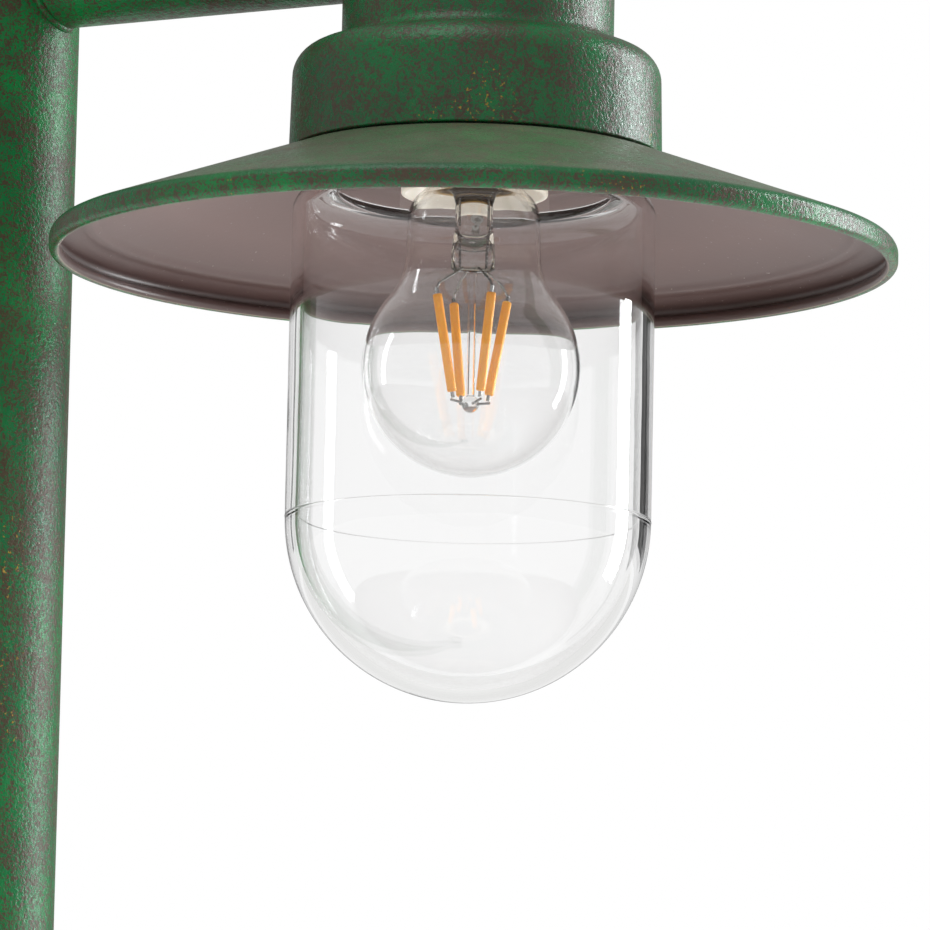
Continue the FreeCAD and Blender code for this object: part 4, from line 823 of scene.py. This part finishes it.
# The centre rod: a thin glass cane drawn down from the pinch to a round bead.
rod_low, rod_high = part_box("bulb_centre_rod")
rod_radius = 0.0011
bead_radius = (rod_high.y - rod_low.y) / 2.0
bead_centre = rod_low.z + bead_radius
rod_profile = arc_points((0.0, bead_centre), bead_radius, -90, 62, 14)
rod_profile[0] = (0.0, rod_low.z)
rod_profile += [(rod_radius, bead_centre + bead_radius + 0.001, 0.0008),
                (rod_radius, rod_high.z), (0.0, rod_high.z)]
rod = as_object("centre_rod_finished", turned("centre_rod", rod_profile, lantern, 24, False),
                "bulb", "bulb_centre_rod", bulb_glass, sharp=70.0)
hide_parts("bulb_centre_rod")

# The filaments: four glass strips of light chips dipped in amber silicone, each with a steel
# tab at both ends, welded to bright support wires.


def between(mesh, start, finish, radius, segments):
    """A round bar from start to finish, with its ends closed."""
    run = finish - start
    matrix = (Matrix.Translation((start + finish) / 2.0)
              @ run.to_track_quat("Z", "Y").to_matrix().to_4x4())
    bmesh.ops.create_cone(mesh, cap_ends=True, segments=segments, radius1=radius,
                          radius2=radius, depth=run.length, matrix=matrix)


def amber_silicone(name):
    """Soft amber silicone, with a weak painted glow that stands in for light, so that it reads
    through the glass.
    """
    material, tree, shader = blank_material(name)
    where = object_coordinates(tree)
    grain = noise_field(tree, where, 1500.0, 3.0)
    tint = blended(tree, graded(tree, grain, 0.35, 0.65), colour("f2a516"), colour("e2900e"))
    tree.links.new(tint, shader.inputs["Base Color"])
    tree.links.new(graded(tree, grain, 0.3, 0.7, 0.3, 0.45), shader.inputs["Roughness"])
    shader.inputs["Subsurface Weight"].default_value = 0.4
    shader.inputs["Subsurface Radius"].default_value = (0.002, 0.001, 0.0004)
    shader.inputs["Specular IOR Level"].default_value = 0.25
    # Painted light: the strips glow a little, in place of the light that falls on them.
    shader.inputs["Emission Color"].default_value = (*colour("f09c08"), 1.0)
    shader.inputs["Emission Strength"].default_value = 0.35
    relief(tree, shader, grain, 0.3, 0.0001)
    return material


strip_low, strip_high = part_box("bulb_filaments")
filament_radius = 0.0013
filament_top = strip_high.z - filament_radius * 0.3
filament_foot = strip_low.z + filament_radius * 0.3
filament_turn = math.radians(56.0)
top_circle = 0.0112
foot_circle = 0.0054
tab_length = 0.0016
wire_radius = 0.00035
tab_radius = wire_radius * 1.6
bright_wire = aged_material("bright_wire", "a8a8a6", "8f8f8d", 0.25, 1.0, 900.0)
filaments = bmesh.new()
tabs = bmesh.new()
wires = bmesh.new()
axis = Vector((lantern.x, lantern.y, 0.0))
for number in range(4):
    turn = filament_turn + math.tau * number / 4.0
    out = Vector((math.cos(turn), math.sin(turn), 0.0))
    head = axis + out * top_circle + Vector((0, 0, filament_top))
    foot = axis + out * foot_circle + Vector((0, 0, filament_foot))
    run = (foot - head).normalized()
    between(filaments, head + run * tab_length, foot - run * tab_length, filament_radius, 16)
    between(tabs, head, head + run * (tab_length + 0.001), tab_radius, 8)
    between(tabs, foot - run * (tab_length + 0.001), foot, tab_radius, 8)
    lead = axis + out * 0.003 + Vector((0, 0, stem_low.z + 0.001))
    elbow = axis + out * (top_circle - 0.001) + Vector((0, 0, filament_top + 0.0012))
    between(wires, lead, elbow, wire_radius, 8)
    between(wires, elbow, head + run * 0.0004, wire_radius, 8)
    bead_side = axis + out * bead_radius * 0.5 + Vector((0, 0, bead_centre))
    hook = foot + run * 0.0006 + out * 0.0008
    between(wires, bead_side, hook, wire_radius, 8)
strips = as_object("filaments_finished", filaments, "bulb", "bulb_filaments",
                   amber_silicone("amber_silicone"), sharp=50.0)
rounding = strips.modifiers.new("rounded_ends", "BEVEL")
rounding.width = 0.0005
rounding.segments = 3
rounding.limit_method = "ANGLE"
rounding.angle_limit = math.radians(50.0)
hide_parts("bulb_filaments")
as_object("filament_tabs", tabs, "bulb", "bulb_support_wires", bright_wire)
for side in (-1.0, 1.0):
    lead_line = Vector((math.cos(bulb_turn), math.sin(bulb_turn), 0.0)) * 0.0035 * side
    between(wires, axis + lead_line + Vector((0, 0, stem_low.z + 0.0012)),
            axis + lead_line + Vector((0, 0, stem_high.z - 0.004)), wire_radius, 8)
wire_piece = as_object("support_wires_finished", wires, "bulb", "bulb_support_wires", bright_wire)
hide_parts("bulb_support_wires")
